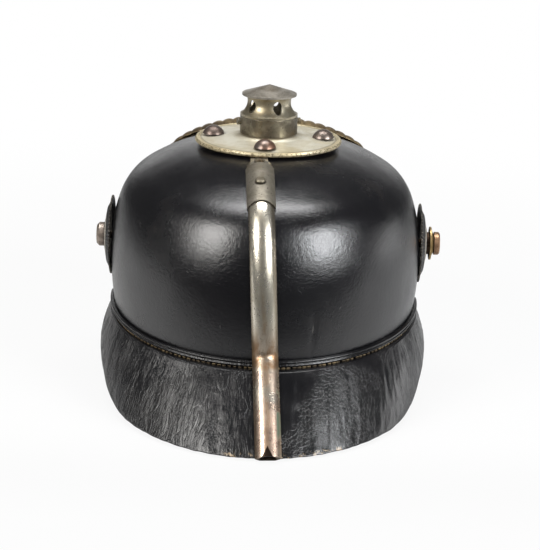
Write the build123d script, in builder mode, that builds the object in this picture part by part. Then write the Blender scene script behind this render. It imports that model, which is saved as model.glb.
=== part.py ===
from build123d import *
import os
from math import asin, atan2, cos, degrees, pi, radians, sin, sqrt, tan

# Leather spiked helmet of the 1915 pattern, spike taken off. Millimetres, +Z up, the face looks along -Y.
# The origin is on the axis of the spike neck, at the height of the surface the visors stand on.

# Skull
crown_height = 146.4
skull_half_width = 94.0
skull_wall = 3.0
crown_radius = 340.0
crown_sweep = 7.5
back_radius = 130.0
back_sweep = 20.5
shoulder_radius = 34.2
shoulder_sweep = 38.0
flank_radius = 81.2
hem_radius = 204.0
crown_vent_bore = 26.0
running_gap = 0.2
overrun = 20.0

# Seam where the visors are sewn on
seam_height = 48.7
seam_droop = 2.6
band_height = 4.4
band_thickness = 2.4
hem_tuck = 7.6
band_end_rear = -4.0
band_end_front = 19.0

# Visors
visor_thickness = 2.4
visor_half_width = 105.0
rear_reach = 150.0
front_reach = 148.0
flange_depth = 2.4
edge_lift = 1.25
rear_edge_shares = ((0.0, 1.0), (0.067, 0.773), (0.2, 0.6), (0.367, 0.45), (0.49, 0.29),
                    (0.63, 0.105), (0.8, 0.045), (1.04, 0.0))
front_edge_shares = ((0.14, 1.0), (0.2, 0.79), (0.34, 0.6), (0.5, 0.43), (0.64, 0.26),
                     (0.78, 0.11), (0.91, 0.03), (1.04, 0.0))

# Steel trim round the front visor
trim_sheet = 0.8
trim_leg = 3.6
trim_gap = 0.25
trim_end = 27.0
trim_pin_bore = 1.8
trim_pin_head = 3.4
trim_pin_rise = 0.6
trim_pin_place_share = 0.24

# Base plate and spike neck
plate_radius = 44.0
plate_sheet = 1.0
bead_radius = 1.3
plate_lift = 1.5
plate_rise = 2.2
foot_fillet = 1.2
foot_radius = 22.4
collar_radius = 17.2
collar_sheet = 1.1
collar_foot = 150.9
collar_height = 10.2
lug_diameter = 3.6
lug_proud = 2.1
lug_height = 6.6
lug_turn = 12.0
neck_foot_radius = 16.4
neck_waist_radius = 13.1
neck_top_radius = 13.9
neck_height = 12.9
neck_sheet = 1.0
neck_waist_share = 0.55
neck_flange = 1.2
vent_count = 5
vent_width = 5.6
vent_length = 7.8
vent_height_share = 0.5
vent_turn = 41.0
cap_radius = 16.3
cap_rise = 5.3
cap_sheet = 1.0

# Four split-shank studs that hold the base plate
stud_circle = 33.0
stud_turn = 87.0
stud_count = 4
stud_radius = 6.5
stud_rise = 4.8
stud_shank = 3.6
stud_reach = 9.2
prong_length = 6.0
prong_sheet = 0.9
washer_radius = 5.6
washer_sheet = 0.8

# Rear spine, leaning as found
spine_width = 14.7
spine_height = 4.2
spine_sheet = 1.0
spine_start = 53.6
spine_lift = 0.45
spine_visor_lift = 0.85
kink_radius = 9.0
lean = 3.3
lean_tilt = 35.0
lean_place = (0.0, 104.0, 85.0)
spine_vent_width = 6.0
spine_vent_from = 9.6
spine_vent_to = 13.0
slot_width = 2.8
tab_length = 17.0
tab_width = 10.0
tab_sheet = 0.7
tab_lift = 0.4
hook_width = 8.6
hook_sheet = 0.8
hook_return = 7.0
hook_bend = 1.0
hook_notch = 3.0

# Vent slide on the spine
slide_from = 13.6
slide_to = 30.0
slide_travel = 4.2
slide_sheet = 0.7
slide_arch = 2.2
knob_angle = 22.2
knob_diameter = 5.8
knob_rise = 1.5
knob_shank = 2.2
keeper_diameter = 5.4
keeper_sheet = 0.7
keeper_drop = 0.35

# Eagle plate on the front
emblem_gap = 1.6
emblem_sheet = 1.2
emblem_half_span = 64.0
emblem_height = 62.0
emblem_tilt = 28.0
emblem_place = (0.0, -103.0, 95.0)
emblem_depth = 60.0
emblem_shares = ((0.0, 0.86), (0.09, 0.85), (0.12, 0.76), (0.16, 0.74), (0.13, 0.64), (0.14, 0.56),
                 (0.2, 0.66), (0.27, 0.86), (0.36, 0.97), (0.46, 1.0), (0.58, 0.97), (0.98, 0.76),
                 (0.9, 0.66), (1.0, 0.56), (0.91, 0.47), (0.985, 0.36), (0.88, 0.28), (0.95, 0.16),
                 (0.83, 0.09), (0.88, -0.04), (0.75, -0.08), (0.8, -0.21), (0.66, -0.23), (0.69, -0.36),
                 (0.54, -0.36), (0.56, -0.47), (0.4, -0.44), (0.37, -0.58), (0.24, -0.5), (0.22, -0.68),
                 (0.1, -0.62), (0.0, -0.74))
loop_spacing = 24.0
loop_height = 95.0
loop_length = 9.0
loop_width = 1.6
loop_sheet = 1.3
wedge_length = 20.0
wedge_width = 5.4
wedge_thin = 1.1
wedge_thick = 1.9

# Side posts, cockades and the strap ring that is left on the right post
post_height = 84.3
post_shank = 5.0
post_bore = 5.6
cockade_radius = 24.0
cockade_sheet = 0.8
cockade_dish = 3.5
cockade_hub_share = 0.34
tooth_count = 64
tooth_depth = 1.1
left_head_diameter = 14.5
left_head_length = 4.6
right_boss_diameter = 13.5
right_boss_length = 3.0
right_head_diameter = 14.0
right_head_length = 3.4
ring_radius = 10.1
ring_bore = 5.6
ring_sheet = 1.0
ring_dish = 1.6
ring_play = 0.25
post_washer_radius = 6.5
post_washer_sheet = 1.0
nut_width = 9.0
nut_length = 3.0
post_tail = 1.2

# Leather liner
liner_sheet = 1.3
liner_tongues = 10
liner_slit = 4.0
liner_slit_foot = 90.0
liner_tip_radius = 22.0
liner_top = 130.0
lace_hole = 4.0
lace_hole_inset = 8.0
liner_places = ((104.1, 45.0), (101.8, 64.0), (98.2, 82.0), (88.5, 105.0), (68.0, 121.0), (44.0, 127.6))

os.makedirs("parts", exist_ok=True)


def dome_chain():
    """Tangent arcs of the median profile: centre, radius, slope where each starts and how far it turns."""
    y = 0.0
    z = crown_height
    slope = 0.0
    flank_sweep = 90.0 - crown_sweep - back_sweep - shoulder_sweep
    arcs = []
    for radius, sweep in ((crown_radius, crown_sweep), (back_radius, back_sweep),
                          (shoulder_radius, shoulder_sweep), (flank_radius, flank_sweep)):
        centre_y = y - radius * sin(radians(slope))
        centre_z = z - radius * cos(radians(slope))
        arcs.append((centre_y, centre_z, radius, slope, sweep))
        slope += sweep
        y = centre_y + radius * sin(radians(slope))
        z = centre_z + radius * cos(radians(slope))
    return arcs, y, z


arcs, skull_half_length, widest_height = dome_chain()
back_centre = (arcs[1][0], arcs[1][1])
hem_centre = skull_half_length - hem_radius


def dome_radius(height, offset=0.0):
    """Half length of the skull's outer face, or of a face offset from it, at a height."""
    if height < widest_height:
        return hem_centre + sqrt((hem_radius + offset) ** 2 - (widest_height - height) ** 2)
    for centre_y, centre_z, radius, slope, sweep in arcs:
        low = centre_z + (radius + offset) * cos(radians(slope + sweep))
        if height >= low:
            return centre_y + sqrt((radius + offset) ** 2 - (height - centre_z) ** 2)
    return skull_half_length + offset


def dome_height(radius, offset=0.0):
    """Height of the skull's outer face, or of a face offset from it, at a half length."""
    for centre_y, centre_z, arc_radius, slope, sweep in arcs:
        reach = centre_y + (arc_radius + offset) * sin(radians(slope + sweep))
        if radius <= reach:
            break
    return centre_z + sqrt((arc_radius + offset) ** 2 - (radius - centre_y) ** 2)


def oval_share(offset=0.0):
    """Width of the oval as a share of its length, at an offset from the outer face."""
    return (skull_half_width + offset) / (skull_half_length + offset)


def profile_arcs(offset, bottom):
    """Draw the median profile from the crown down to a height."""
    start = (0.0, crown_height + offset)
    heading = (1.0, 0.0)
    for _, _, radius, _, sweep in arcs:
        arc = JernArc(start, heading, radius + offset, -sweep)
        start = arc @ 1
        heading = arc % 1
    turn = degrees(asin((widest_height - bottom) / (hem_radius + offset)))
    return JernArc(start, heading, hem_radius + offset, -turn)


def oval_form(offset, bottom):
    """Solid bounded by the skull's face at an offset, closed flat at a height."""
    with BuildPart() as form:
        with BuildSketch(Plane.YZ) as half:
            with BuildLine():
                last = profile_arcs(offset, bottom)
                Polyline(last @ 1, (0.0, bottom), (0.0, crown_height + offset))
            make_face()
        revolve(axis=Axis.Z)
        scale(by=(oval_share(offset), 1, 1))
    return form.part


def seam_at(y):
    """Height of the lower line of the bare skull, which droops to the front and rear."""
    return seam_height - tan(radians(seam_droop)) * abs(y)


def side_region(points):
    """Prism across the helmet from an outline in side view."""
    with BuildPart() as region:
        with BuildSketch(Plane.YZ):
            with BuildLine():
                Polyline(*points, close=True)
            make_face()
        extrude(amount=skull_half_width * 2, both=True)
    return region.part


far = rear_reach + overrun
skull_floor = seam_at(far) - hem_tuck
visor_top_height = seam_height - band_height - running_gap
skirt_top = seam_height + overrun / 4
seam_half_length = dome_radius(seam_at(skull_half_length)) + band_thickness + running_gap * 2
seam_half_width = seam_half_length * oval_share(band_thickness)
slope_level = seam_at(skull_half_length)


def skirt_slope(reach):
    """Run per rise of the visor's outer face at its middle and at its sides."""
    along = (reach - seam_half_length) / slope_level
    across = (visor_half_width - seam_half_width) / slope_level
    return along, across


def skirt_form(reach, offset):
    """Flared solid whose outer face is a visor's, at an offset square to it."""
    along, across = skirt_slope(reach)
    long_offset = offset * sqrt(1 + along ** 2)
    wide_offset = offset * sqrt(1 + across ** 2)
    with BuildPart() as form:
        for level in (-overrun / 4, skirt_top):
            with BuildSketch(Plane.XY.offset(level)):
                Ellipse(visor_half_width - across * level + wide_offset, reach - along * level + long_offset)
        loft(ruled=True)
    return form.part


def moved_square(points, amount):
    """Points moved square to the run of their outline, to its right."""
    moved = []
    for index, (y, z) in enumerate(points):
        before = points[max(index - 1, 0)]
        after = points[min(index + 1, len(points) - 1)]
        run = after[0] - before[0]
        rise = after[1] - before[1]
        length = sqrt(run ** 2 + rise ** 2)
        moved.append((y + amount * rise / length, z - amount * run / length))
    return moved


def edge_points(shares, reach, growth=0.0):
    """Lower edge of a visor in side view, moved outward by an amount."""
    first = shares[0][0] * reach
    top = seam_at(first) - band_height - running_gap - edge_lift
    return moved_square([(y * reach, edge_lift + z * top) for y, z in shares], growth)


def visor_outline(shares, reach, side, growth=0.0):
    """Side-view prism of a visor, from its seam to its lower edge, with the edge moved outward."""
    points = edge_points(shares, reach, growth)
    first = points[0][0]
    last = points[-1][0]
    drop = -overrun if growth < 0 else band_height + running_gap
    with BuildPart() as region:
        with BuildSketch(Plane.YZ):
            with BuildLine():
                Spline(*[(side * y, z) for y, z in points])
                closing = [(side * last, points[-1][1]), (side * last, seam_at(last) - drop),
                           (side * first, seam_at(first) - drop)]
                if growth:
                    closing.append((side * first, points[0][1]))
                Polyline(*closing)
            make_face()
        extrude(amount=skull_half_width * 2, both=True)
    return region.part


def radial_plane(turn, height):
    """Upright plane through the neck's axis that faces outward at a polar angle, its Y axis up."""
    a = radians(turn)
    return Plane(origin=(0.0, 0.0, height), x_dir=(-sin(a), cos(a), 0.0), z_dir=(cos(a), sin(a), 0.0))


def put(piece, name):
    """Label one finished piece and write it."""
    piece.label = name
    export_step(piece, "parts/" + name + ".step")


# Skull: boiled leather dome with its hem tucked behind the bands
spine_lean = Axis(lean_place, (0.0, cos(radians(lean_tilt)), sin(radians(lean_tilt))))
back_axis = Axis((0.0, back_centre[0], back_centre[1]), (1, 0, 0))
foot_line_radius = back_radius + spine_lift


def back_plane(angle, lift=0.0):
    """Plane across the spine on the back arc: X to the left, Y outward, at an angle from upright."""
    a = radians(angle)
    reach = foot_line_radius + lift
    return Plane(origin=(0.0, back_centre[0] + reach * sin(a), back_centre[1] + reach * cos(a)),
                 x_dir=(-1, 0, 0), z_dir=(0.0, cos(a), -sin(a)))


def outward_plane(angle, lift=0.0):
    """Plane lying on the back arc at an angle from upright, its normal pointing out of the skull."""
    a = radians(angle)
    reach = foot_line_radius + lift
    return Plane(origin=(0.0, back_centre[0] + reach * sin(a), back_centre[1] + reach * cos(a)),
                 x_dir=(1, 0, 0), z_dir=(0.0, sin(a), cos(a)))


spine_vent_middle = (spine_vent_from + spine_vent_to) / 2


def dome_plane(x, height, side):
    """Plane on the skull's outer face at a width and height, front or rear, normal pointing out."""
    share = oval_share()
    radius = dome_radius(height)
    y = side * sqrt(radius ** 2 - (x / share) ** 2)
    lean_out = (height - widest_height) / flank_radius
    normal = Vector(x / share ** 2 / radius, y / radius, lean_out).normalized()
    level = Vector(-side * normal.Y, side * normal.X, 0.0).normalized()
    return Plane(origin=(x, y, height), x_dir=level, z_dir=normal)


loop_planes = [dome_plane(side * loop_spacing, loop_height, -1) for side in (1, -1)]

with BuildPart() as skull:
    add(oval_form(0.0, skull_floor))
    add(oval_form(-skull_wall, skull_floor - overrun / 4), mode=Mode.SUBTRACT)
    add(side_region(((-far, seam_at(far) - hem_tuck), (0.0, seam_height - hem_tuck),
                     (far, seam_at(far) - hem_tuck), (far, crown_height + overrun),
                     (-far, crown_height + overrun))), mode=Mode.INTERSECT)
    with BuildSketch(Plane.XY.offset(crown_height - overrun)):
        Circle(crown_vent_bore / 2)
        with PolarLocations(stud_circle, stud_count, start_angle=stud_turn):
            Circle(stud_shank / 2 + running_gap)
    extrude(amount=overrun * 2, mode=Mode.SUBTRACT)
    with BuildSketch(Plane.YZ):
        with Locations((0.0, post_height)):
            Circle(post_bore / 2)
    extrude(amount=skull_half_width + overrun, both=True, mode=Mode.SUBTRACT)
    for plane in loop_planes:
        with BuildSketch(plane.offset(-overrun / 2)):
            Rectangle(loop_width + running_gap * 2, loop_length + running_gap * 2)
        extrude(amount=overrun, mode=Mode.SUBTRACT)
    with BuildPart(mode=Mode.PRIVATE) as spine_vent_drill:
        with BuildSketch(outward_plane(spine_vent_middle)):
            Circle(spine_vent_width / 2)
        extrude(amount=overrun / 2, both=True)
    add(spine_vent_drill.part.rotate(spine_lean, lean), mode=Mode.SUBTRACT)
put(skull.part, "skull")

# Rear and front bands: the leather welts between the bare skull and the visors
for name, side, end in (("rear_band", 1, band_end_rear), ("front_band", -1, band_end_front)):
    with BuildPart() as band:
        add(oval_form(band_thickness, skull_floor))
        add(oval_form(running_gap, skull_floor - overrun / 4), mode=Mode.SUBTRACT)
        near = side * end
        stops = [near, 0.0, side * far] if near * side < 0 else [near, side * far]
        upper = [(y, seam_at(y)) for y in stops]
        lower = [(y, seam_at(y) - band_height) for y in reversed(stops)]
        add(side_region(upper + lower), mode=Mode.INTERSECT)
    put(band.part, name)


# Visors: flared leather skirts with a turned-in flange that is sewn to the skull's hem
def visor(shares, reach, side):
    """One visor of the given reach, at the rear (1) or front (-1)."""
    start_y = shares[0][0] * reach
    with BuildPart() as shape:
        add(skirt_form(reach, 0.0))
        add(skirt_form(reach, -visor_thickness), mode=Mode.SUBTRACT)
        with BuildPart(mode=Mode.PRIVATE) as flange:
            add(skirt_form(reach, 0.0))
            add(oval_form(running_gap, skull_floor - overrun), mode=Mode.SUBTRACT)
            drop = band_height + running_gap
            add(side_region(((0.0, seam_height - drop), (side * far, seam_at(far) - drop),
                             (side * far, seam_at(far) - drop - flange_depth),
                             (0.0, seam_height - drop - flange_depth))), mode=Mode.INTERSECT)
        add(flange.part)
        add(visor_outline(shares, reach, side), mode=Mode.INTERSECT)
    return shape.part


put(visor(rear_edge_shares, rear_reach, 1), "rear_visor")
put(visor(front_edge_shares, front_reach, -1), "front_visor")

# Steel trim folded over the front visor's edge, and the two pins that hold its ends
with BuildPart() as front_trim:
    add(skirt_form(front_reach, trim_gap + trim_sheet))
    add(skirt_form(front_reach, -visor_thickness - trim_gap - trim_sheet), mode=Mode.SUBTRACT)
    add(visor_outline(front_edge_shares, front_reach, -1, trim_gap + trim_sheet), mode=Mode.INTERSECT)
    with BuildPart(mode=Mode.PRIVATE) as leather_room:
        add(skirt_form(front_reach, trim_gap))
        add(skirt_form(front_reach, -visor_thickness - trim_gap), mode=Mode.SUBTRACT)
        add(visor_outline(front_edge_shares, front_reach, -1, trim_gap), mode=Mode.INTERSECT)
    add(leather_room.part, mode=Mode.SUBTRACT)
    add(visor_outline(front_edge_shares, front_reach, -1, -trim_leg), mode=Mode.SUBTRACT)
    trim_top = band_height + flange_depth + running_gap * 2
    add(side_region(((-trim_end, -overrun), (-trim_end, seam_at(trim_end) - trim_top),
                     (-far, seam_at(far) - trim_top), (-far, -overrun))), mode=Mode.INTERSECT)
put(front_trim.part, "front_trim")


# Base plate with rolled bead, flared foot and the tube inside the collar
plate_seat = dome_height(plate_radius)
bead_height = plate_seat + plate_lift + bead_radius
foot_height = bead_height + bead_radius / 2 + plate_rise
tube_radius = collar_radius - collar_sheet - running_gap / 2
collar_top = collar_foot + collar_height
with BuildPart() as base_plate:
    with BuildSketch(Plane.XZ):
        with BuildLine():
            FilletPolyline((plate_radius - bead_radius, bead_height + bead_radius - plate_sheet / 2),
                           (foot_radius, foot_height), (tube_radius, foot_height + plate_sheet),
                           (tube_radius, collar_top), radius=foot_fillet)
            offset(amount=plate_sheet, side=Side.LEFT)
        make_face()
        with Locations((plate_radius - bead_radius, bead_height)):
            Circle(bead_radius)
    revolve(axis=Axis.Z)
    with BuildSketch(Plane.XY.offset(crown_height - overrun)):
        with PolarLocations(stud_circle, stud_count, start_angle=stud_turn):
            Circle(stud_shank / 2 + running_gap)
    extrude(amount=overrun * 2, mode=Mode.SUBTRACT)
put(base_plate.part, "base_plate")

# Steel bayonet collar and its two locking lugs
lug_level = collar_foot + lug_height
lug_places = [lug_turn + 180 * k for k in range(2)]
with BuildPart() as bayonet_collar:
    with BuildSketch(Plane.XY.offset(collar_foot)):
        Circle(collar_radius)
        Circle(collar_radius - collar_sheet, mode=Mode.SUBTRACT)
    extrude(amount=collar_height)
    fillet(bayonet_collar.faces().sort_by(Axis.Z)[-1].edges().sort_by(SortBy.RADIUS)[-1], collar_sheet / 3)
    for turn in lug_places:
        with BuildSketch(radial_plane(turn, lug_level)):
            Circle(lug_diameter / 2 + running_gap / 2)
        extrude(amount=collar_radius + overrun, mode=Mode.SUBTRACT)
put(bayonet_collar.part, "bayonet_collar")

with BuildPart() as bayonet_lugs:
    for turn in lug_places:
        with BuildSketch(radial_plane(turn, lug_level)):
            Circle(lug_diameter / 2)
        extrude(amount=collar_radius + lug_proud)
    with BuildSketch(Plane.XY.offset(collar_foot - overrun)):
        Circle(tube_radius + running_gap / 2)
    extrude(amount=collar_height + overrun * 2, mode=Mode.SUBTRACT)
put(bayonet_lugs.part, "bayonet_lugs")

# Waisted vent neck with five oval holes, and its shallow conical cap
neck_foot = collar_top + running_gap / 2
neck_top = neck_foot + neck_height
waist_height = neck_foot + neck_height * neck_waist_share
with BuildPart() as vent_neck:
    with BuildSketch(Plane.XZ):
        with BuildLine():
            Polyline((neck_foot_radius, neck_foot + neck_flange), (collar_radius, neck_foot + neck_flange),
                     (collar_radius, neck_foot), (tube_radius - plate_sheet, neck_foot),
                     (neck_waist_radius - neck_sheet, waist_height))
            Line((neck_waist_radius - neck_sheet, waist_height), (neck_top_radius - neck_sheet, neck_top))
            Line((neck_top_radius - neck_sheet, neck_top), (neck_top_radius, neck_top))
            Spline((neck_top_radius, neck_top), (neck_waist_radius, waist_height),
                   (neck_foot_radius, neck_foot + neck_flange))
        make_face()
    revolve(axis=Axis.Z)
    hole_level = neck_foot + neck_height * vent_height_share
    for k in range(vent_count):
        turn = vent_turn + 360 / vent_count * k
        with BuildSketch(radial_plane(turn, hole_level)):
            Ellipse(vent_width / 2, vent_length / 2)
        extrude(amount=neck_foot_radius + overrun, mode=Mode.SUBTRACT)
put(vent_neck.part, "vent_neck")

cap_slope = cap_rise / cap_radius
cap_foot = neck_top + running_gap - (cap_radius - neck_top_radius) * cap_slope + cap_sheet * sqrt(1 + cap_slope ** 2)
with BuildPart() as neck_cap:
    with BuildSketch(Plane.XZ):
        with BuildLine():
            drop = cap_sheet * sqrt(1 + cap_slope ** 2)
            Polyline((0.0, cap_foot + cap_rise), (cap_radius, cap_foot), (cap_radius, cap_foot - drop),
                     (0.0, cap_foot + cap_rise - drop), close=True)
        make_face()
    revolve(axis=Axis.Z)
put(neck_cap.part, "neck_cap")

# Domed studs: heads on the plate, split shanks spread over washers inside the crown
plate_run = plate_radius - bead_radius - foot_radius
plate_slope = (foot_height - bead_height - bead_radius + plate_sheet / 2) / plate_run
stud_seat = foot_height + running_gap - (stud_circle - stud_radius - foot_radius) * plate_slope
washer_top = dome_height((stud_circle + washer_radius) / oval_share(), -skull_wall) - running_gap
prong_top = washer_top - washer_sheet - running_gap
with BuildPart() as stud_form:
    with BuildSketch(Plane.XZ):
        with BuildLine():
            Polyline((0.0, stud_seat + stud_rise), (0.0, prong_top - prong_sheet),
                     (stud_shank / 2, prong_top - prong_sheet), (stud_shank / 2, stud_seat),
                     (stud_radius, stud_seat))
            RadiusArc((stud_radius, stud_seat), (0.0, stud_seat + stud_rise),
                      -(stud_radius ** 2 + stud_rise ** 2) / (stud_rise * 2))
        make_face()
    revolve(axis=Axis.Z)
    with BuildSketch(Plane.XY.offset(prong_top)):
        Rectangle(prong_length * 2, stud_shank * 0.7)
    extrude(amount=-prong_sheet)
with BuildPart() as crown_studs:
    with PolarLocations(stud_circle, stud_count, start_angle=stud_turn):
        add(stud_form.part)
put(crown_studs.part, "crown_studs")

with BuildPart() as stud_washers:
    with BuildSketch(Plane.XY.offset(washer_top - washer_sheet)):
        with PolarLocations(stud_circle, stud_count, start_angle=stud_turn):
            Circle(washer_radius)
        with PolarLocations(stud_circle, stud_count, start_angle=stud_turn):
            Circle(stud_shank / 2 + running_gap, mode=Mode.SUBTRACT)
    extrude(amount=washer_sheet)
put(stud_washers.part, "stud_washers")

# Rear spine: half-round channel from a rounded nose at the plate to a hook round the visor's edge
spine_arch = ((spine_width / 2) ** 2 + spine_height ** 2) / (spine_height * 2)
arch_centre = spine_height - spine_arch
inner_arch = spine_arch - spine_sheet
inner_half = sqrt(inner_arch ** 2 - arch_centre ** 2)
along, across = skirt_slope(rear_reach)
slope_length = sqrt(1 + along ** 2)
visor_down = (along / slope_length, -1 / slope_length)
visor_out = (1 / slope_length, along / slope_length)
edge_y = rear_reach - along * edge_lift
spine_end = (edge_y + spine_visor_lift * visor_out[0], edge_lift + spine_visor_lift * visor_out[1])
start_angle = degrees(asin((spine_start - back_centre[0]) / foot_line_radius))
hem_reach = hem_radius + spine_lift
to_edge = (spine_end[0] - hem_centre, spine_end[1] - widest_height)
toward = to_edge[0] * visor_down[0] + to_edge[1] * visor_down[1]
beyond = to_edge[0] ** 2 + to_edge[1] ** 2 - hem_reach ** 2
kink_run = toward - sqrt(toward ** 2 - beyond)
kink = (spine_end[0] - kink_run * visor_down[0], spine_end[1] - kink_run * visor_down[1])


def channel(solid):
    """Draw the spine's section, a shallow arch, with an open or a filled underside."""
    ThreePointArc((-spine_width / 2, 0.0), (0.0, spine_height), (spine_width / 2, 0.0))
    if solid:
        Line((spine_width / 2, 0.0), (-spine_width / 2, 0.0))
    else:
        Line((spine_width / 2, 0.0), (inner_half, 0.0))
        ThreePointArc((inner_half, 0.0), (0.0, arch_centre + inner_arch), (-inner_half, 0.0))
        Line((-inner_half, 0.0), (-spine_width / 2, 0.0))


with BuildPart() as rear_spine:
    with BuildLine(Plane.YZ) as spine_path:
        start = (back_centre[0] + foot_line_radius * sin(radians(start_angle)),
                 back_centre[1] + foot_line_radius * cos(radians(start_angle)))
        heading = (cos(radians(start_angle)), -sin(radians(start_angle)))
        last_arc = JernArc(start, heading, foot_line_radius, start_angle - crown_sweep - back_sweep)
        for _, _, radius, _, turn in arcs[2:]:
            last_arc = JernArc(last_arc @ 1, last_arc % 1, radius + spine_lift, -turn)
        hem_turn = degrees(asin((widest_height - kink[1]) / hem_reach))
        hem_arc = JernArc(last_arc @ 1, last_arc % 1, hem_reach, -hem_turn)
        Line(hem_arc @ 1, spine_end)
        fillet(spine_path.vertices().sort_by_distance((0.0, kink[0], kink[1]))[0], kink_radius)
    with BuildSketch(back_plane(start_angle)):
        with BuildLine():
            channel(False)
        make_face()
    sweep(path=spine_path.wire())
    with BuildSketch(back_plane(start_angle)):
        with BuildLine():
            Polyline((0.0, arch_centre + inner_arch), (0.0, spine_height))
            RadiusArc((0.0, spine_height), (spine_width / 2, 0.0), spine_arch)
            Line((spine_width / 2, 0.0), (inner_half, 0.0))
            RadiusArc((inner_half, 0.0), (0.0, arch_centre + inner_arch), -inner_arch)
        make_face()
    nose_plane = back_plane(start_angle)
    revolve(axis=Axis(nose_plane.origin, nose_plane.y_dir), revolution_arc=180)
    end_plane = Plane(origin=(0.0, spine_end[0], spine_end[1]), x_dir=(-1, 0, 0),
                      z_dir=(0.0, -visor_down[0], -visor_down[1]))
    with BuildSketch(end_plane):
        with BuildLine():
            channel(True)
        make_face()
    extrude(amount=spine_sheet)
    hook_face = spine_visor_lift / 2
    inner_y = (visor_thickness + spine_visor_lift) * slope_length
    hook_floor = hook_sheet + running_gap / 2
    hook_top = (edge_y + hook_face * visor_out[0] - along * hook_return,
                edge_lift + hook_face * visor_out[1] + hook_return)
    hook_tip = (edge_y + hook_face * visor_out[0] + along * (edge_lift - hook_floor + hook_face * visor_out[1]),
                hook_floor)
    hook_back = (edge_y - inner_y + along * (edge_lift - hook_floor), hook_floor)
    hook_end = (hook_back[0] - along * hook_return, hook_floor + hook_return)
    with BuildSketch(Plane.YZ.offset(-hook_width / 2)):
        with BuildLine():
            FilletPolyline(hook_top, hook_tip, hook_back, hook_end, radius=hook_bend)
            offset(amount=hook_sheet, side=Side.LEFT)
        make_face()
    extrude(amount=hook_width)
    with BuildSketch(Plane.YZ.offset(-tab_width / 2)):
        with BuildLine():
            tab_stops = [spine_start - tab_length * k / 3 for k in range(4)]
            low = [(y, dome_height(y, tab_lift)) for y in tab_stops]
            high = [(y, dome_height(y, tab_lift + tab_sheet)) for y in reversed(tab_stops)]
            Polyline(*low, *high, close=True)
        make_face()
    extrude(amount=tab_width)
    with BuildSketch(outward_plane(spine_vent_middle)):
        SlotOverall(foot_line_radius * radians(spine_vent_to - spine_vent_from) + spine_vent_width / 2,
                    spine_vent_width, rotation=90)
    extrude(amount=spine_height * 2, mode=Mode.SUBTRACT)
    with BuildSketch(outward_plane(knob_angle - slide_travel / 2)):
        SlotCenterToCenter(foot_line_radius * radians(slide_travel), slot_width, rotation=90)
    extrude(amount=spine_height * 2, mode=Mode.SUBTRACT)
put(rear_spine.part.rotate(spine_lean, lean), "rear_spine")

# Vent slide: a sleeve on the spine, its knob, and the keeper washer under the spine's roof
slide_inner = spine_arch + running_gap
slide_outer = slide_inner + slide_sheet
slide_roof = arch_centre + slide_outer
lip = spine_visor_lift / 2


def arch_half(radius):
    """Half width of an arch of a radius about the spine's centre, at the slide's lower edge."""
    return sqrt(radius ** 2 - (lip - arch_centre) ** 2)


with BuildPart() as vent_slide:
    with BuildSketch(back_plane(slide_from)):
        with BuildLine():
            ThreePointArc((-arch_half(slide_outer), lip), (0.0, slide_roof), (arch_half(slide_outer), lip))
            Line((arch_half(slide_outer), lip), (arch_half(slide_inner), lip))
            ThreePointArc((arch_half(slide_inner), lip), (0.0, arch_centre + slide_inner),
                          (-arch_half(slide_inner), lip))
            Line((-arch_half(slide_inner), lip), (-arch_half(slide_outer), lip))
        make_face()
    revolve(axis=Axis(back_axis.position, (-1, 0, 0)), revolution_arc=slide_to - slide_from)
    arch_chord = arch_half(slide_outer)
    arch_cut = (arch_chord ** 2 + slide_arch ** 2) / (slide_arch * 2)
    with BuildSketch(outward_plane(slide_to)):
        with Locations((0.0, arch_cut - slide_arch)):
            Circle(arch_cut)
    extrude(amount=slide_roof * 2, mode=Mode.SUBTRACT)
    with BuildSketch(outward_plane(knob_angle)):
        Circle(knob_shank / 2 + running_gap / 2)
    extrude(amount=slide_roof * 2, mode=Mode.SUBTRACT)
put(vent_slide.part.rotate(spine_lean, lean), "vent_slide")

keeper_top = arch_centre + sqrt(inner_arch ** 2 - (keeper_diameter / 2) ** 2) - running_gap
with BuildPart() as slide_knob:
    with BuildSketch(outward_plane(knob_angle, keeper_top - keeper_sheet)):
        Circle(knob_shank / 2)
    extrude(amount=slide_roof + running_gap / 2 - keeper_top + keeper_sheet)
    with BuildSketch(outward_plane(knob_angle, slide_roof + running_gap / 4)):
        Circle(knob_diameter / 2)
    extrude(amount=knob_rise)
    knob_axis = Axis(outward_plane(knob_angle).origin, outward_plane(knob_angle).z_dir)
    fillet(slide_knob.faces().sort_by(knob_axis)[-1].edges(), knob_rise * 0.6)
put(slide_knob.part.rotate(spine_lean, lean), "slide_knob")

with BuildPart() as slide_keeper:
    with BuildSketch(outward_plane(knob_angle, keeper_top - keeper_sheet)):
        Circle(keeper_diameter / 2)
        Circle(knob_shank / 2 + running_gap / 4, mode=Mode.SUBTRACT)
    extrude(amount=keeper_sheet)
put(slide_keeper.part.rotate(spine_lean, lean), "slide_keeper")

# Eagle plate: sheet pressed to the dome's front, its loops through the leather and the wedges inside
tilt = radians(emblem_tilt)
emblem_plane = Plane(origin=emblem_place, x_dir=(1, 0, 0), z_dir=(0.0, -cos(tilt), sin(tilt)))
with BuildPart() as eagle_plate:
    add(oval_form(emblem_gap + emblem_sheet, widest_height - emblem_height))
    add(oval_form(emblem_gap, widest_height - emblem_height * 1.2), mode=Mode.SUBTRACT)
    with BuildSketch(emblem_plane.offset(-emblem_depth)):
        with BuildLine():
            half = [(x * emblem_half_span, y * emblem_height) for x, y in emblem_shares]
            other = [(-x, y) for x, y in reversed(half[1:-1])]
            Polyline(*half, *other, close=True)
        make_face()
    extrude(amount=emblem_depth * 2, mode=Mode.INTERSECT)
put(eagle_plate.part, "eagle_plate")

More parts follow.
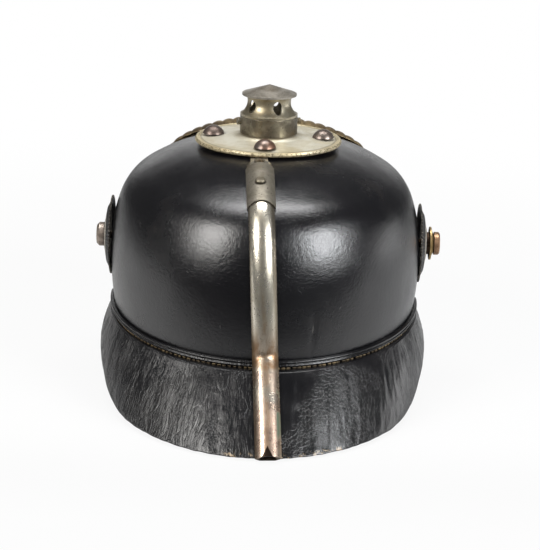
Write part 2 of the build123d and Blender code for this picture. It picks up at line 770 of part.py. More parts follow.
wedge_bow = wedge_length ** 2 / (skull_half_width * 6)
wedge_depth = skull_wall + running_gap * 2 + wedge_bow
loop_reach = wedge_depth + (wedge_thin + wedge_thick) / 2 + loop_sheet + running_gap
with BuildPart() as plate_loops:
    for plane in loop_planes:
        across_plane = Plane(origin=plane.origin, x_dir=-plane.z_dir, z_dir=plane.x_dir)
        with BuildSketch(across_plane.offset(-loop_width / 2)):
            with Locations(((loop_reach - emblem_gap + running_gap) / 2, 0.0)):
                Rectangle(loop_reach + emblem_gap - running_gap, loop_length)
                Rectangle(loop_reach + emblem_gap - running_gap - loop_sheet * 2,
                          loop_length - loop_sheet * 2, mode=Mode.SUBTRACT)
        extrude(amount=loop_width)
put(plate_loops.part, "plate_loops")

with BuildPart() as plate_wedges:
    for plane in loop_planes:
        level_plane = Plane(origin=plane.origin, x_dir=plane.x_dir, z_dir=-plane.y_dir)
        with BuildSketch(level_plane.offset(-wedge_width / 2)):
            with BuildLine():
                Polyline((-wedge_length / 2, -wedge_depth), (wedge_length / 2, -wedge_depth),
                         (wedge_length / 2, -wedge_depth - wedge_thin),
                         (-wedge_length / 2, -wedge_depth - wedge_thick), close=True)
            make_face()
        extrude(amount=wedge_width)
put(plate_wedges.part, "plate_wedges")

# Side posts with cockades; the right one still holds the chin strap's brass ring
side_face = oval_share() * dome_radius(post_height)
lower_face = oval_share() * dome_radius(post_height - cockade_radius)
rim_face = lower_face + running_gap
hub_face = side_face + cockade_dish
hub_radius = cockade_radius * cockade_hub_share
hub_outer = hub_face + cockade_sheet
left_seat = hub_outer + running_gap / 2
boss_end = left_seat + right_boss_length - ring_dish
ring_room = ring_dish + ring_sheet + ring_play * 2
right_seat = boss_end + ring_room
inner_face = oval_share(-skull_wall) * dome_radius(post_height + post_washer_radius, -skull_wall) - running_gap
washer_face = inner_face - post_washer_sheet
nut_face = washer_face - running_gap / 2
shank_end = nut_face - nut_length - post_tail
post_plane = Plane.XY.offset(post_height)
post_axis = Axis((0.0, 0.0, post_height), (1, 0, 0))


serrations = []
for k in range(tooth_count * 2):
    reach = cockade_radius if k % 2 else cockade_radius - tooth_depth
    serrations.append((reach * cos(pi * k / tooth_count), reach * sin(pi * k / tooth_count)))
for name, side in (("cockade_left", 1), ("cockade_right", -1)):
    with BuildPart() as cockade:
        with BuildSketch(post_plane):
            with BuildLine():
                Polyline((side * rim_face, cockade_radius * 1.05), (side * rim_face, cockade_radius * 0.9),
                         (side * (rim_face + (hub_face - rim_face) * 0.55), cockade_radius * 0.72),
                         (side * hub_face, hub_radius), (side * hub_face, post_bore / 2),
                         (side * hub_outer, post_bore / 2), (side * hub_outer, hub_radius),
                         (side * (rim_face + (hub_face - rim_face) * 0.55 + cockade_sheet), cockade_radius * 0.72),
                         (side * (rim_face + cockade_sheet), cockade_radius * 0.9),
                         (side * (rim_face + cockade_sheet), cockade_radius * 1.05), close=True)
            make_face()
        revolve(axis=post_axis)
        with BuildSketch(Plane.YZ):
            with Locations((0.0, post_height)):
                Polygon(*serrations, align=None)
        extrude(amount=hub_outer + overrun, both=True, mode=Mode.INTERSECT)
    put(cockade.part, name)


def post(side, boss_length, head_radius, head_from, head_length, round_over):
    """Turned side post: domed head, boss and the shank that passes through the leather."""
    head_end = head_from + head_length
    with BuildPart() as turned:
        with BuildSketch(post_plane):
            with BuildLine():
                points = [(shank_end, 0.0), (shank_end, post_shank / 2)]
                if boss_length:
                    points += [(left_seat, post_shank / 2), (left_seat, right_boss_diameter / 2),
                               (left_seat + boss_length, right_boss_diameter / 2),
                               (left_seat + boss_length, post_shank / 2)]
                points += [(head_from, post_shank / 2), (head_from, head_radius),
                           (head_end - round_over, head_radius), (head_end, head_radius - round_over),
                           (head_end, 0.0)]
                Polyline(*[(side * x, y) for x, y in points], close=True)
            make_face()
        revolve(axis=post_axis)
    return turned.part


put(post(1, 0.0, left_head_diameter / 2, left_seat, left_head_length, left_head_length / 3), "post_left")
put(post(-1, boss_end - left_seat, right_head_diameter / 2, right_seat, right_head_length,
         right_head_length / 4), "post_right")

with BuildPart() as strap_ring:
    with BuildSketch(post_plane):
        hub_from = right_seat - ring_play - ring_sheet
        rim_from = hub_from - ring_dish
        with BuildLine():
            Polyline((-hub_from, ring_bore / 2), (-hub_from, ring_radius * 0.6), (-rim_from, ring_radius * 0.9),
                     (-rim_from, ring_radius), (-rim_from - ring_sheet, ring_radius),
                     (-rim_from - ring_sheet, ring_radius * 0.86), (-hub_from - ring_sheet, ring_radius * 0.56),
                     (-hub_from - ring_sheet, ring_bore / 2), close=True)
        make_face()
    revolve(axis=post_axis)
put(strap_ring.part, "strap_ring")

with BuildPart() as post_washers:
    for side in (1, -1):
        with BuildSketch(Plane.YZ.offset(side * inner_face)):
            with Locations((0.0, post_height)):
                Circle(post_washer_radius)
                Circle(post_shank / 2 + running_gap / 2, mode=Mode.SUBTRACT)
        extrude(amount=-side * post_washer_sheet)
put(post_washers.part, "post_washers")

with BuildPart() as post_nuts:
    for side in (1, -1):
        with BuildSketch(Plane.YZ.offset(side * nut_face)):
            with Locations((0.0, post_height)):
                RegularPolygon(nut_width / 2, 6, major_radius=False)
                Circle(post_shank / 2 + running_gap / 4, mode=Mode.SUBTRACT)
        extrude(amount=-side * nut_length)
put(post_nuts.part, "post_nuts")

# Leather liner: a band sewn in at the hem that rises into tongues round the head
liner_share = oval_share(-skull_wall)
with BuildPart() as liner:
    with BuildSketch(Plane.YZ):
        with BuildLine():
            outer_points = [*liner_places, (liner_tip_radius, liner_top)]
            inner_points = moved_square(outer_points, -liner_sheet)[::-1]
            Spline(*outer_points)
            Line(outer_points[-1], inner_points[0])
            Spline(*inner_points)
            Line(inner_points[-1], outer_points[0])
        make_face()
    revolve(axis=Axis.Z)
    with BuildSketch(Plane.XY.offset(liner_slit_foot)):
        with PolarLocations(skull_half_length / 2, liner_tongues, start_angle=180 / liner_tongues):
            Rectangle(skull_half_length, liner_slit)
        with PolarLocations(liner_tip_radius + lace_hole_inset, liner_tongues):
            Circle(lace_hole / 2)
    extrude(amount=liner_top - liner_slit_foot + liner_sheet, mode=Mode.SUBTRACT)
    scale(by=(liner_share, 1, 1))
put(liner.part, "liner")
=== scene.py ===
import math
import random

import bpy
from mathutils import Matrix, Vector, noise


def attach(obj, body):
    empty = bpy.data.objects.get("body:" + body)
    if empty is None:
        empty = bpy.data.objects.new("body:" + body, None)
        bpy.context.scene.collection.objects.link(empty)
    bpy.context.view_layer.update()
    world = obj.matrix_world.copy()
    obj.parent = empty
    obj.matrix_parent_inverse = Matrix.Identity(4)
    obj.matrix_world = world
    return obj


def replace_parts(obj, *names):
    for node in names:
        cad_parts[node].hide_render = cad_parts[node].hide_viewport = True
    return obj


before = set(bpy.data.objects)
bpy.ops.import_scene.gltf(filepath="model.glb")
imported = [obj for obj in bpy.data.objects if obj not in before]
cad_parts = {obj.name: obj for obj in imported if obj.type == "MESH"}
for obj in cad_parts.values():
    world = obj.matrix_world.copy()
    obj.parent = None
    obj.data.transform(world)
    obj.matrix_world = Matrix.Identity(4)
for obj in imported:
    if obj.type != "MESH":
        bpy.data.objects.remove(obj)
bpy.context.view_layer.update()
scene = bpy.context.scene

# Everything is in metres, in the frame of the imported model: +Z up, the rear visor towards +Y.
MM = 0.001

# Camera, at the photograph's angle
AIM = Vector((-0.0034, 0.0, 0.061))
DISTANCE = 1.100
ELEVATION = math.radians(17.0)
ROLL = math.radians(1.65)
LENS = 117.03

# Skull: tangent arcs of the median profile, radius and turn in degrees, from the crown down
CROWN = 146.4 * MM
HALF_WIDTH = 94.0 * MM
WALL = 3.0 * MM
ARCS = ((340.0 * MM, 7.5), (130.0 * MM, 20.5), (34.2 * MM, 38.0), (81.2 * MM, 24.0))
HEM_RADIUS = 204.0 * MM
HEM_TURN = 14.0
CROWN_HOLE = 13.0 * MM
POST = 84.3 * MM

# Seam, welts and visors
SEAM = 48.7 * MM
DROOP = math.tan(math.radians(2.6))
BAND = 4.4 * MM
BAND_THICK = 2.4 * MM
GAP = 0.2 * MM
TUCK = 7.4 * MM
VISOR_THICK = 2.4 * MM
VISOR_HALF_WIDTH = 105.0 * MM
REAR_REACH = 150.0 * MM
FRONT_REACH = 148.0 * MM
EDGE_LIFT = 1.25 * MM
VISOR_SWELL = 2.4 * MM
EDGE_ROUND = 0.35 * MM
FOLD_OUT = 0.5 * MM
FOLD_IN = 0.6 * MM

# Lower edges of the visors: shares of the reach, from the middle, and of the greatest height
REAR_EDGE = ((0.0, 1.0), (0.067, 0.773), (0.2, 0.58), (0.367, 0.37), (0.49, 0.19),
             (0.63, 0.06), (0.8, 0.02), (1.04, 0.0))
FRONT_EDGE = ((0.14, 1.0), (0.2, 0.79), (0.34, 0.6), (0.5, 0.43), (0.64, 0.26),
              (0.78, 0.11), (0.91, 0.03), (1.04, 0.0))

# Stitches, liner and emblem
STITCH_PITCH = 3.3 * MM
STITCH_LENGTH = 2.3 * MM
STITCH_RADIUS = 0.42 * MM
STITCH_OUT = 0.62 * BAND_THICK
STITCH_RINGS = 5
STITCH_SIDES = 6
LINER_TONGUES = 10
LINER_SHEET = 1.3 * MM
LINER_SLIT_FOOT = 90.0 * MM
LINER_TIP = (22.0 * MM, 130.0 * MM)
LINER_PLACES = ((104.1 * MM, 45.0 * MM), (101.8 * MM, 64.0 * MM), (98.2 * MM, 82.0 * MM),
                (88.5 * MM, 105.0 * MM), (68.0 * MM, 121.0 * MM), (44.0 * MM, 127.6 * MM))
SLIT_GAP = 1.2 * MM
SLIT_SPREAD = 1.0 * MM
EMBLEM_FACE = 2.8 * MM
EMBLEM_LEAN = math.radians(28.0)
EMBLEM_STAND = 103.0 * MM
EMBLEM_DROP = 51.4 * MM
RELIEF_SINK = 0.3 * MM
EMBLEM_SEARCH = (-30 * MM, 75 * MM)
FEATHER_ROWS = 8
FEATHER_COLUMNS = 7
BOSS_CELLS = 12

# Bow, curl and wave of a liner tongue, in millimetres
TONGUE_BOW = 1.6
TONGUE_CURL = 0.8
TONGUE_WAVE = 0.7

# Eagle, in millimetres on the emblem's plane: tips of its flight and tail feathers, middles of its wing tops
FLIGHT_TIPS = ((62.0, 46.0), (63.2, 34.4), (62.0, 22.2), (59.6, 10.2), (55.2, -1.8), (50.0, -12.2),
               (43.2, -21.2), (35.0, -27.8))
TAIL_TIPS = ((7.0, -40.0), (14.0, -41.4), (22.6, -35.8))
WING_TOPS = ((13, 57.6), (19.5, 59.2), (26, 59.8), (32.5, 59.2), (39, 57.4), (45.4, 54.6), (51.4, 51.0),
             (57, 46.6))

# Its two rows of coverts: angle, reach, and root across and up, each with what the next feather has less,
# then the row's flattening and each feather's width, height and curl
COVERT_COUNT = 9
COVERTS = (((66, 17), (35, 0.8), (15, 0.3), (34, 3.4), (0.88, 0.78), 8.4, 2.0, -1.2),
           ((74, 19), (23, 0.5), (12, 0.2), (33, 2.9), (0.85, 0.8), 7.0, 2.9, -0.8))

# Mesh detail of the skull: rows of its outer and inner face, the length they are spread over, and turns
OUTER_ROWS = 110
INNER_ROWS = 40
ROWS_LENGTH = 0.26
SKULL_TURNS = 360

# Waves in the skull outside its smooth crown, and the upright crease at its rear
WAVE_HEIGHT = 0.42
WAVE_MOST = 0.3 * MM
SMOOTH_CROWN = 46 * MM
CREASE_X = -28.5 * MM
CREASE_WIDTH = 1.3 * MM
CREASE_DEPTH = 0.55 * MM

# Foot and top of that crease, in millimetres
CREASE_FOOT = 40
CREASE_TOP = 76

# Rear spine: place of its kink, and its sideways slope
KINK_X = -2.6 * MM
KINK_Z = 41.0 * MM
SPINE_SLOPE = 0.065

# Base plate: the painted bead, with a painted shadow line just inside it, and the foot, as distances from
# the middle
BEAD_FROM = 40.4 * MM
BEAD_TO = 43.0 * MM
FOOT_FROM = 15.5 * MM
FOOT_TO = 23.0 * MM

# Painted shade ring round the slide's knob, out to this distance from its middle, and the top of the painted
# shade in the notch at the spine's end
KNOB_SHADE_TO = 3.6 * MM
NOTCH_TOP = 9.5 * MM

# Studio: where the floor turns dark towards the camera and fades out to white, the backdrop's part of the
# directions along y, and the light of the rest of the room
FLOOR_DARK = (0.1, 0.24)
FLOOR_FADE = (0.2, 0.7)
BACKDROP = (-0.985, -0.88)
ROOM_LIGHT = 0.07

# Scratches on the skull and cracks in the visors: x, y, z of both ends and a width, in millimetres
SCRATCHES = ((-62, 72, 112, -46, 92, 90, 0.5), (-46, 92, 90, -43, 99, 70, 0.4),
             (-58, 84, 92, -40, 98, 74, 0.4), (-28, 103, 72, -29, 106, 46, 0.7),
             (-70, 66, 92, -64, 80, 70, 0.35), (22, 104, 82, 24, 107, 56, 0.3))
REAR_CRACKS = ((-22, 132, 18, -42, 118, 30, 0.6), (-24, 130, 24, -16, 128, 27, 0.5),
               (-4, 140, 8, -10, 128, 24, 0.5), (-10, 142, 4, -5, 138, 12, 0.4))
FRONT_CRACKS = ((30, -136, 18, 46, -124, 26, 0.4), (-12, -138, 12, -20, -128, 24, 0.35))


class Graph:
    """Builds the nodes of one material, or of the world, with short calls."""

    def __init__(self, name, kind=bpy.data.materials):
        self.owner = kind.new(name)
        self.owner.use_nodes = True
        self.nodes = self.owner.node_tree.nodes
        self.links = self.owner.node_tree.links
        self.shader = self.nodes.get("Principled BSDF")
        self.place = self.nodes.new("ShaderNodeTexCoord").outputs["Object"]

    def put(self, socket, value):
        if isinstance(value, bpy.types.NodeSocket):
            self.links.new(value, socket)
        elif isinstance(value, (tuple, list)) and len(value) == 3 and socket.type == "RGBA":
            socket.default_value = (*value, 1.0)
        else:
            socket.default_value = value

    def math(self, operation, a, b=0.0, c=0.0, clamp=False):
        node = self.nodes.new("ShaderNodeMath")
        node.operation = operation
        node.use_clamp = clamp
        for socket, value in zip(node.inputs, (a, b, c)):
            self.put(socket, value)
        return node.outputs[0]

    def plus(self, a, b, clamp=False):
        return self.math("ADD", a, b, clamp=clamp)

    def minus(self, a, b):
        return self.math("SUBTRACT", a, b)

    def times(self, a, b):
        return self.math("MULTIPLY", a, b)

    def weigh(self, *terms):
        """Sum of values, each times its weight."""
        total = self.times(*terms[0])
        for term in terms[1:]:
            total = self.plus(total, self.times(*term))
        return total

    def vector(self, operation, a, b=(0.0, 0.0, 0.0), scale=1.0):
        node = self.nodes.new("ShaderNodeVectorMath")
        node.operation = operation
        self.put(node.inputs[0], a)
        self.put(node.inputs[1], b)
        self.put(node.inputs[3], scale)
        is_number = operation in ("LENGTH", "DOT_PRODUCT", "DISTANCE")
        return node.outputs["Value"] if is_number else node.outputs[0]

    def split(self, vector):
        node = self.nodes.new("ShaderNodeSeparateXYZ")
        self.put(node.inputs[0], vector)
        return node.outputs

    def join(self, x, y, z):
        node = self.nodes.new("ShaderNodeCombineXYZ")
        for socket, value in zip(node.inputs, (x, y, z)):
            self.put(socket, value)
        return node.outputs[0]

    def stretch(self, x, y, z):
        return self.vector("MULTIPLY", self.place, (x, y, z))

    def noise(self, scale, detail=4.0, rough=0.55, vector=None, warp=0.0):
        node = self.nodes.new("ShaderNodeTexNoise")
        self.put(node.inputs["Vector"], vector or self.place)
        settings = {"Scale": scale, "Detail": detail, "Roughness": rough, "Distortion": warp}
        for name, value in settings.items():
            self.put(node.inputs[name], value)
        return node.outputs[0]

    def drift(self, scale):
        """Noise vector round zero."""
        node = self.nodes.new("ShaderNodeTexNoise")
        self.put(node.inputs["Vector"], self.place)
        self.put(node.inputs["Scale"], scale)
        return self.vector("SUBTRACT", node.outputs[1], (0.5, 0.5, 0.5))

    def cells(self, scale, feature="F1", vector=None):
        node = self.nodes.new("ShaderNodeTexVoronoi")
        node.feature = feature
        self.put(node.inputs["Vector"], vector or self.place)
        self.put(node.inputs["Scale"], scale)
        return node.outputs["Distance"]

    def step(self, value, low, high, to_low=0.0, to_high=1.0):
        node = self.nodes.new("ShaderNodeMapRange")
        node.interpolation_type = "SMOOTHSTEP"
        for index, number in enumerate((value, low, high, to_low, to_high)):
            self.put(node.inputs[index], number)
        return node.outputs[0]

    def mix(self, share, a, b):
        node = self.nodes.new("ShaderNodeMix")
        node.data_type = "RGBA"
        self.put(node.inputs[0], share)
        self.put(node.inputs[6], a)
        self.put(node.inputs[7], b)
        return node.outputs[2]

    def tint(self, color, mask, share, tone):
        """Take the colour towards a tone by a share of a mask."""
        return self.mix(self.times(mask, share), color, tone)

    def bump(self, height, strength, distance):
        node = self.nodes.new("ShaderNodeBump")
        self.put(node.inputs["Strength"], strength)
        self.put(node.inputs["Distance"], distance)
        self.put(node.inputs["Height"], height)
        return node.outputs[0]

    def edges(self, radius):
        """1 at sharp edges, 0 on open faces."""
        node = self.nodes.new("ShaderNodeBevel")
        node.samples = 4
        self.put(node.inputs["Radius"], radius)
        flat = self.nodes.new("ShaderNodeNewGeometry").outputs["Normal"]
        same = self.vector("DOT_PRODUCT", node.outputs[0], flat)
        return self.step(self.minus(1.0, same), 0.02, 0.25)

    def line(self, start, end, width, wander):
        """1 on a thin line between two points on a surface, 0 away from it."""
        start = Vector(start)
        along = Vector(end) - start
        place = self.vector("ADD", self.place, self.vector("SCALE", self.drift(90.0), scale=wander))
        rel = self.vector("SUBTRACT", place, tuple(start))
        done = self.vector("DOT_PRODUCT", rel, tuple(along))
        share = self.math("DIVIDE", done, along.length_squared, clamp=True)
        foot = self.vector("SCALE", tuple(along), scale=share)
        reach = self.vector("DISTANCE", rel, foot)
        taper = self.times(share, self.minus(1.0, share))
        wide = self.times(self.math("POWER", self.times(taper, 4.0), 0.4), width)
        away = self.math("DIVIDE", reach, self.math("MAXIMUM", wide, width * 0.05))
        return self.step(away, 0.4, 1.0, 1.0, 0.0)

    def lines(self, rows, wander):
        """1 on any of several lines, each x, y, z of both ends and a width, in millimetres."""
        found = []
        for row in rows:
            scaled = [number * MM for number in row]
            found.append(self.line(scaled[:3], scaled[3:6], scaled[6], wander))
        return self.most(found)

    def most(self, values):
        total = values[0]
        for value in values[1:]:
            total = self.math("MAXIMUM", total, value)
        return total

    def crevice(self, reach):
        """1 in corners that little light reaches, 0 on open faces."""
        node = self.nodes.new("ShaderNodeAmbientOcclusion")
        node.samples = 6
        node.inputs["Distance"].default_value = reach
        return self.step(node.outputs["AO"], 0.45, 0.85, 1.0, 0.0)

    def finish(self, color, rough, metal=0.0, normal=None, **fixed):
        self.put(self.shader.inputs["Base Color"], color)
        self.put(self.shader.inputs["Roughness"], rough)
        self.put(self.shader.inputs["Metallic"], metal)
        if normal is not None:
            self.put(self.shader.inputs["Normal"], normal)
        for name, value in fixed.items():
            self.shader.inputs[name.replace("_", " ")].default_value = value
        return self.owner


def lacquered_leather():
    """Gloss black skull leather: fine grain, cloudy wear, long scratches; the upright crease at the rear is
    in the shell's shape.
    """
    g = Graph("skull_leather")
    grain = g.cells(880.0, "DISTANCE_TO_EDGE")
    fine = g.noise(1900.0, 3.0, 0.6)
    cloud = g.noise(34.0, 6.0, 0.62, warp=0.4)
    blotch = g.noise(13.0, 4.0, 0.5)
    scratches = g.lines(SCRATCHES, 0.0012)
    hair = g.noise(60.0, 2.0, 0.4, vector=g.stretch(1.0, 1.0, 0.12), warp=1.5)
    hairs = g.step(g.math("ABSOLUTE", g.minus(hair, 0.5)), 0.0, 0.006, 1.0, 0.0)
    hairs = g.times(hairs, g.step(cloud, 0.52, 0.66))
    worn = g.step(cloud, 0.55, 0.8)
    color = g.mix(worn, (0.0045, 0.0044, 0.0055), (0.011, 0.0098, 0.0098))
    color = g.tint(color, hairs, 0.3, (0.05, 0.046, 0.042))
    color = g.tint(color, scratches, 0.7, (0.07, 0.065, 0.06))
    rough = g.plus(g.step(cloud, 0.3, 0.75, 0.19, 0.27), g.step(blotch, 0.35, 0.7, 0.0, 0.04))
    rough = g.plus(rough, g.times(scratches, 0.2))
    pebbles = g.noise(620.0, 3.0, 0.6, warp=0.4)
    height = g.weigh((g.step(grain, 0.0, 0.16), 0.5), (fine, 0.6), (cloud, 1.6), (pebbles, 4.5),
                     (scratches, -1.0))
    normal = g.bump(height, 0.6, 0.00006)
    return g.finish(color, rough, normal=normal, Specular_IOR_Level=0.75)


def crazed_leather(name, cracks, worn_side):
    """Black visor leather: creases fan from the seam on one half, crazing on the other, tan chips below."""
    g = Graph(name)
    x, y, z = g.split(g.place)
    turn = g.math("ARCTAN2", x, g.math("ABSOLUTE", y))
    wander = g.drift(55.0)
    fan = g.join(g.times(turn, 0.13), g.times(g.vector("LENGTH", g.place), 0.15), 0.0)
    fan = g.vector("ADD", fan, g.vector("SCALE", wander, scale=0.006))
    folds = g.cells(480.0, "DISTANCE_TO_EDGE", vector=fan)
    creases = g.noise(520.0, 6.0, 0.62, vector=fan, warp=0.8)
    wandered = g.vector("ADD", g.place, g.vector("SCALE", wander, scale=0.009))
    net = g.cells(430.0, "DISTANCE_TO_EDGE", vector=wandered)
    grain = g.cells(1100.0, "DISTANCE_TO_EDGE")
    fine = g.noise(2200.0, 3.0, 0.6)
    side = g.step(x, -0.014, 0.02)
    patch = g.noise(26.0, 4.0, 0.55)
    amount = g.step(patch, 0.3, 0.6)
    fold_cut = g.times(g.step(folds, 0.0, 0.09, 1.0, 0.0), amount)
    net_cut = g.times(g.step(net, 0.0, 0.05, 0.5, 0.0), g.step(patch, 0.45, 0.6))
    cut = g.plus(g.times(fold_cut, g.plus(0.2, g.times(side, 0.8))),
                 g.times(net_cut, g.minus(1.0, g.times(side, 0.8))), clamp=True)
    long_cuts = g.lines(cracks, 0.003)
    scuffs = g.noise(170.0, 3.0, 0.5, vector=g.stretch(1.0, 1.0, 0.35), warp=2.2)
    scuff = g.times(g.step(g.math("ABSOLUTE", g.minus(scuffs, 0.5)), 0.0, 0.011, 1.0, 0.0),
                   g.step(patch, 0.46, 0.62))
    scuff = g.times(scuff, g.minus(1.0, g.times(side, 0.8)))
    chips = g.times(g.step(z, 4.2 * MM, 2.4 * MM), g.step(g.noise(240.0, 5.0, 0.7), 0.53, 0.58))
    chips = g.times(chips, g.times(g.step(x, -50 * MM, -42 * MM), g.step(x, 22 * MM, 14 * MM)))
    edge = g.edges(0.0006)
    color = g.mix(g.step(patch, 0.3, 0.7), (0.0055, 0.0055, 0.0065), (0.014, 0.0135, 0.014))
    color = g.tint(color, scuff, 0.32, (0.11, 0.1, 0.095))
    color = g.tint(color, edge, 0.3, (0.06, 0.045, 0.03))
    color = g.tint(color, chips, worn_side, (0.38, 0.29, 0.19))
    color = g.mix(long_cuts, color, (0.002, 0.002, 0.002))
    rough = g.plus(g.step(patch, 0.3, 0.7, 0.14, 0.21), g.times(cut, 0.08))
    rough = g.plus(rough, g.times(side, 0.03))
    height = g.weigh((g.step(grain, 0.0, 0.2), 0.1), (fine, 0.2), (cut, -0.8),
                     (creases, g.plus(0.9, g.times(side, 2.8))), (long_cuts, -2.5))
    normal = g.bump(height, 0.85, 0.00012)
    return g.finish(color, rough, normal=normal, Specular_IOR_Level=0.62)


def cockade_paint():
    """Painted tin: black, pale and black rings round the post, fluted, chipped to tin at the teeth."""
    g = Graph("cockade_paint")
    _, y, z = g.split(g.place)
    reach = g.vector("LENGTH", g.join(y, g.minus(z, POST), 0.0))
    turn = g.math("ARCTAN2", y, g.minus(z, POST))
    flute = g.math("SINE", g.times(turn, 64.0))
    wear = g.noise(300.0, 5.0, 0.65)
    pale = g.times(g.step(reach, 0.0118, 0.0121), g.step(reach, 0.0172, 0.0169))
    color = g.mix(pale, (0.011, 0.0105, 0.0105), (0.42, 0.4, 0.35))
    color = g.mix(g.step(wear, 0.6, 0.66), color, (0.13, 0.1, 0.075))
    color = g.mix(g.times(g.edges(0.0005), g.step(wear, 0.4, 0.5)), color, (0.3, 0.27, 0.22))
    ribs = g.times(flute, g.step(reach, 0.0095, 0.0105))
    height = g.weigh((ribs, 0.5), (wear, 0.4))
    return g.finish(color, g.step(wear, 0.3, 0.7, 0.34, 0.52), 0.2, g.bump(height, 0.8, 0.0003))


def stitch_thread():
    g = Graph("stitch_thread")
    twist = g.noise(1500.0, 2.0, 0.5)
    color = g.mix(g.step(g.noise(120.0, 4.0), 0.4, 0.6), (0.26, 0.19, 0.1), (0.09, 0.064, 0.036))
    return g.finish(color, 0.75, normal=g.bump(twist, 0.5, 0.0002))


def tanned_leather():
    """Brown liner leather: grained and cloudy, darker towards the hem."""
    g = Graph("liner_leather")
    grain = g.cells(900.0, "DISTANCE_TO_EDGE")
    cloud = g.noise(28.0, 6.0, 0.6, warp=0.6)
    fine = g.noise(1400.0, 4.0, 0.6)
    color = g.mix(g.step(cloud, 0.35, 0.65), (0.27, 0.15, 0.07), (0.15, 0.08, 0.038))
    color = g.mix(g.step(g.split(g.place)[2], 0.075, 0.045, 0.0, 0.7), color, (0.06, 0.036, 0.021))
    height = g.plus(g.times(g.step(grain, 0.0, 0.2), 0.5), g.plus(fine, cloud))
    return g.finish(color, g.step(cloud, 0.3, 0.7, 0.5, 0.68), normal=g.bump(height, 0.6, 0.0001))


def aged_metal(name, bright, dull, stain, dark, rough, speck, metal, stain_from, worn=None, ring=None):
    """Old plated sheet: mottled, brown stains in patches, painted shade in corners broken up by noise, dark
    specks, bare edges, and a painted shade ring round a point when one is given.
    """
    g = Graph(name)
    cloud = g.noise(75.0, 7.0, 0.66, warp=0.5)
    patch = g.noise(24.0, 6.0, 0.64)
    fine = g.noise(800.0, 4.0, 0.65)
    pits = g.cells(620.0)
    color = g.mix(g.step(cloud, 0.38, 0.62), bright, dull)
    color = g.tint(color, g.step(patch, stain_from, stain_from + 0.12), 0.75, stain)
    pit = g.times(g.step(pits, 0.15, 0.34, 1.0, 0.0), g.step(fine, 0.48, 0.58))
    color = g.tint(color, pit, speck, dark)
    # Painted shade: corners and crevices darkened from ambient occlusion, broken up by noise; these spots
    # are also made rougher, as grime.
    crevice_shade = g.times(g.crevice(0.004), g.step(fine, 0.2, 0.5))
    color = g.tint(color, crevice_shade, 0.8, dark)
    if worn:
        color = g.tint(color, g.edges(0.0004), 0.6, worn)
    if ring:
        # Painted shade: a dark ring round the given point stands in for the shade in the recess round the
        # slide's knob.
        around = g.vector("DISTANCE", g.place, tuple(ring))
        color = g.mix(g.step(around, KNOB_SHADE_TO, KNOB_SHADE_TO - 0.5 * MM, 0.0, 0.75), color, dark)
    rough_out = g.plus(g.step(cloud, 0.3, 0.75, rough, rough + 0.16),
                       g.times(g.plus(pit, crevice_shade, clamp=True), 0.2))
    metal_out = g.times(metal, g.step(patch, stain_from, stain_from + 0.25, 1.0, 0.75))
    height = g.weigh((fine, 0.4), (cloud, 2.5), (pit, -0.6))
    return g.finish(color, rough_out, metal_out, g.bump(height, 0.4, 0.00012))


def plate_nickel():
    """Base plate: pale worn nickel, a yellowish bead at its edge with dark chips and a painted shadow line
    just inside it, grime at its foot, painted shade in crevices.
    """
    g = Graph("plate_nickel")
    x, y, _ = g.split(g.place)
    reach = g.vector("LENGTH", g.join(x, y, 0.0))
    cloud = g.noise(60.0, 7.0, 0.66, warp=0.5)
    patch = g.noise(24.0, 6.0, 0.64)
    fine = g.noise(800.0, 4.0, 0.65)
    color = g.mix(g.step(cloud, 0.38, 0.64), (0.74, 0.705, 0.585), (0.59, 0.54, 0.405))
    color = g.tint(color, g.step(patch, 0.52, 0.64), 0.55, (0.5, 0.42, 0.25))
    bead = g.times(g.step(reach, BEAD_FROM, BEAD_FROM + 0.8 * MM),
                   g.step(reach, BEAD_TO + 0.8 * MM, BEAD_TO))
    # Painted shadow: a dark line just inside the bead.
    groove_shadow = g.times(g.step(reach, BEAD_FROM - 1.1 * MM, BEAD_FROM - 0.2 * MM),
                    g.step(reach, BEAD_FROM + 0.6 * MM, BEAD_FROM))
    color = g.tint(color, g.step(reach, BEAD_FROM, BEAD_FROM + 0.6 * MM), 0.6, (0.55, 0.45, 0.25))
    color = g.tint(color, groove_shadow, 0.55, (0.24, 0.19, 0.11))
    foot = g.step(reach, FOOT_TO, FOOT_FROM)
    grime = g.times(foot, g.step(cloud, 0.35, 0.6, 0.35, 0.9))
    color = g.tint(color, grime, 0.6, (0.3, 0.245, 0.145))
    rim = g.step(reach, BEAD_TO - 0.2 * MM, BEAD_TO + 0.6 * MM)
    chip = g.times(rim, g.step(fine, 0.5, 0.56))
    color = g.tint(color, chip, 0.8, (0.09, 0.065, 0.035))
    # Painted shade in crevices, from ambient occlusion.
    color = g.tint(color, g.crevice(0.004), 0.7, (0.14, 0.1, 0.055))
    height = g.plus(g.times(bead, 0.9), g.times(foot, 3.2))
    height = g.plus(height, g.plus(g.times(fine, 0.05), g.times(cloud, 0.3)))
    return g.finish(color, g.step(cloud, 0.3, 0.75, 0.4, 0.56), 0.6, g.bump(height, 1.0, 0.0007))


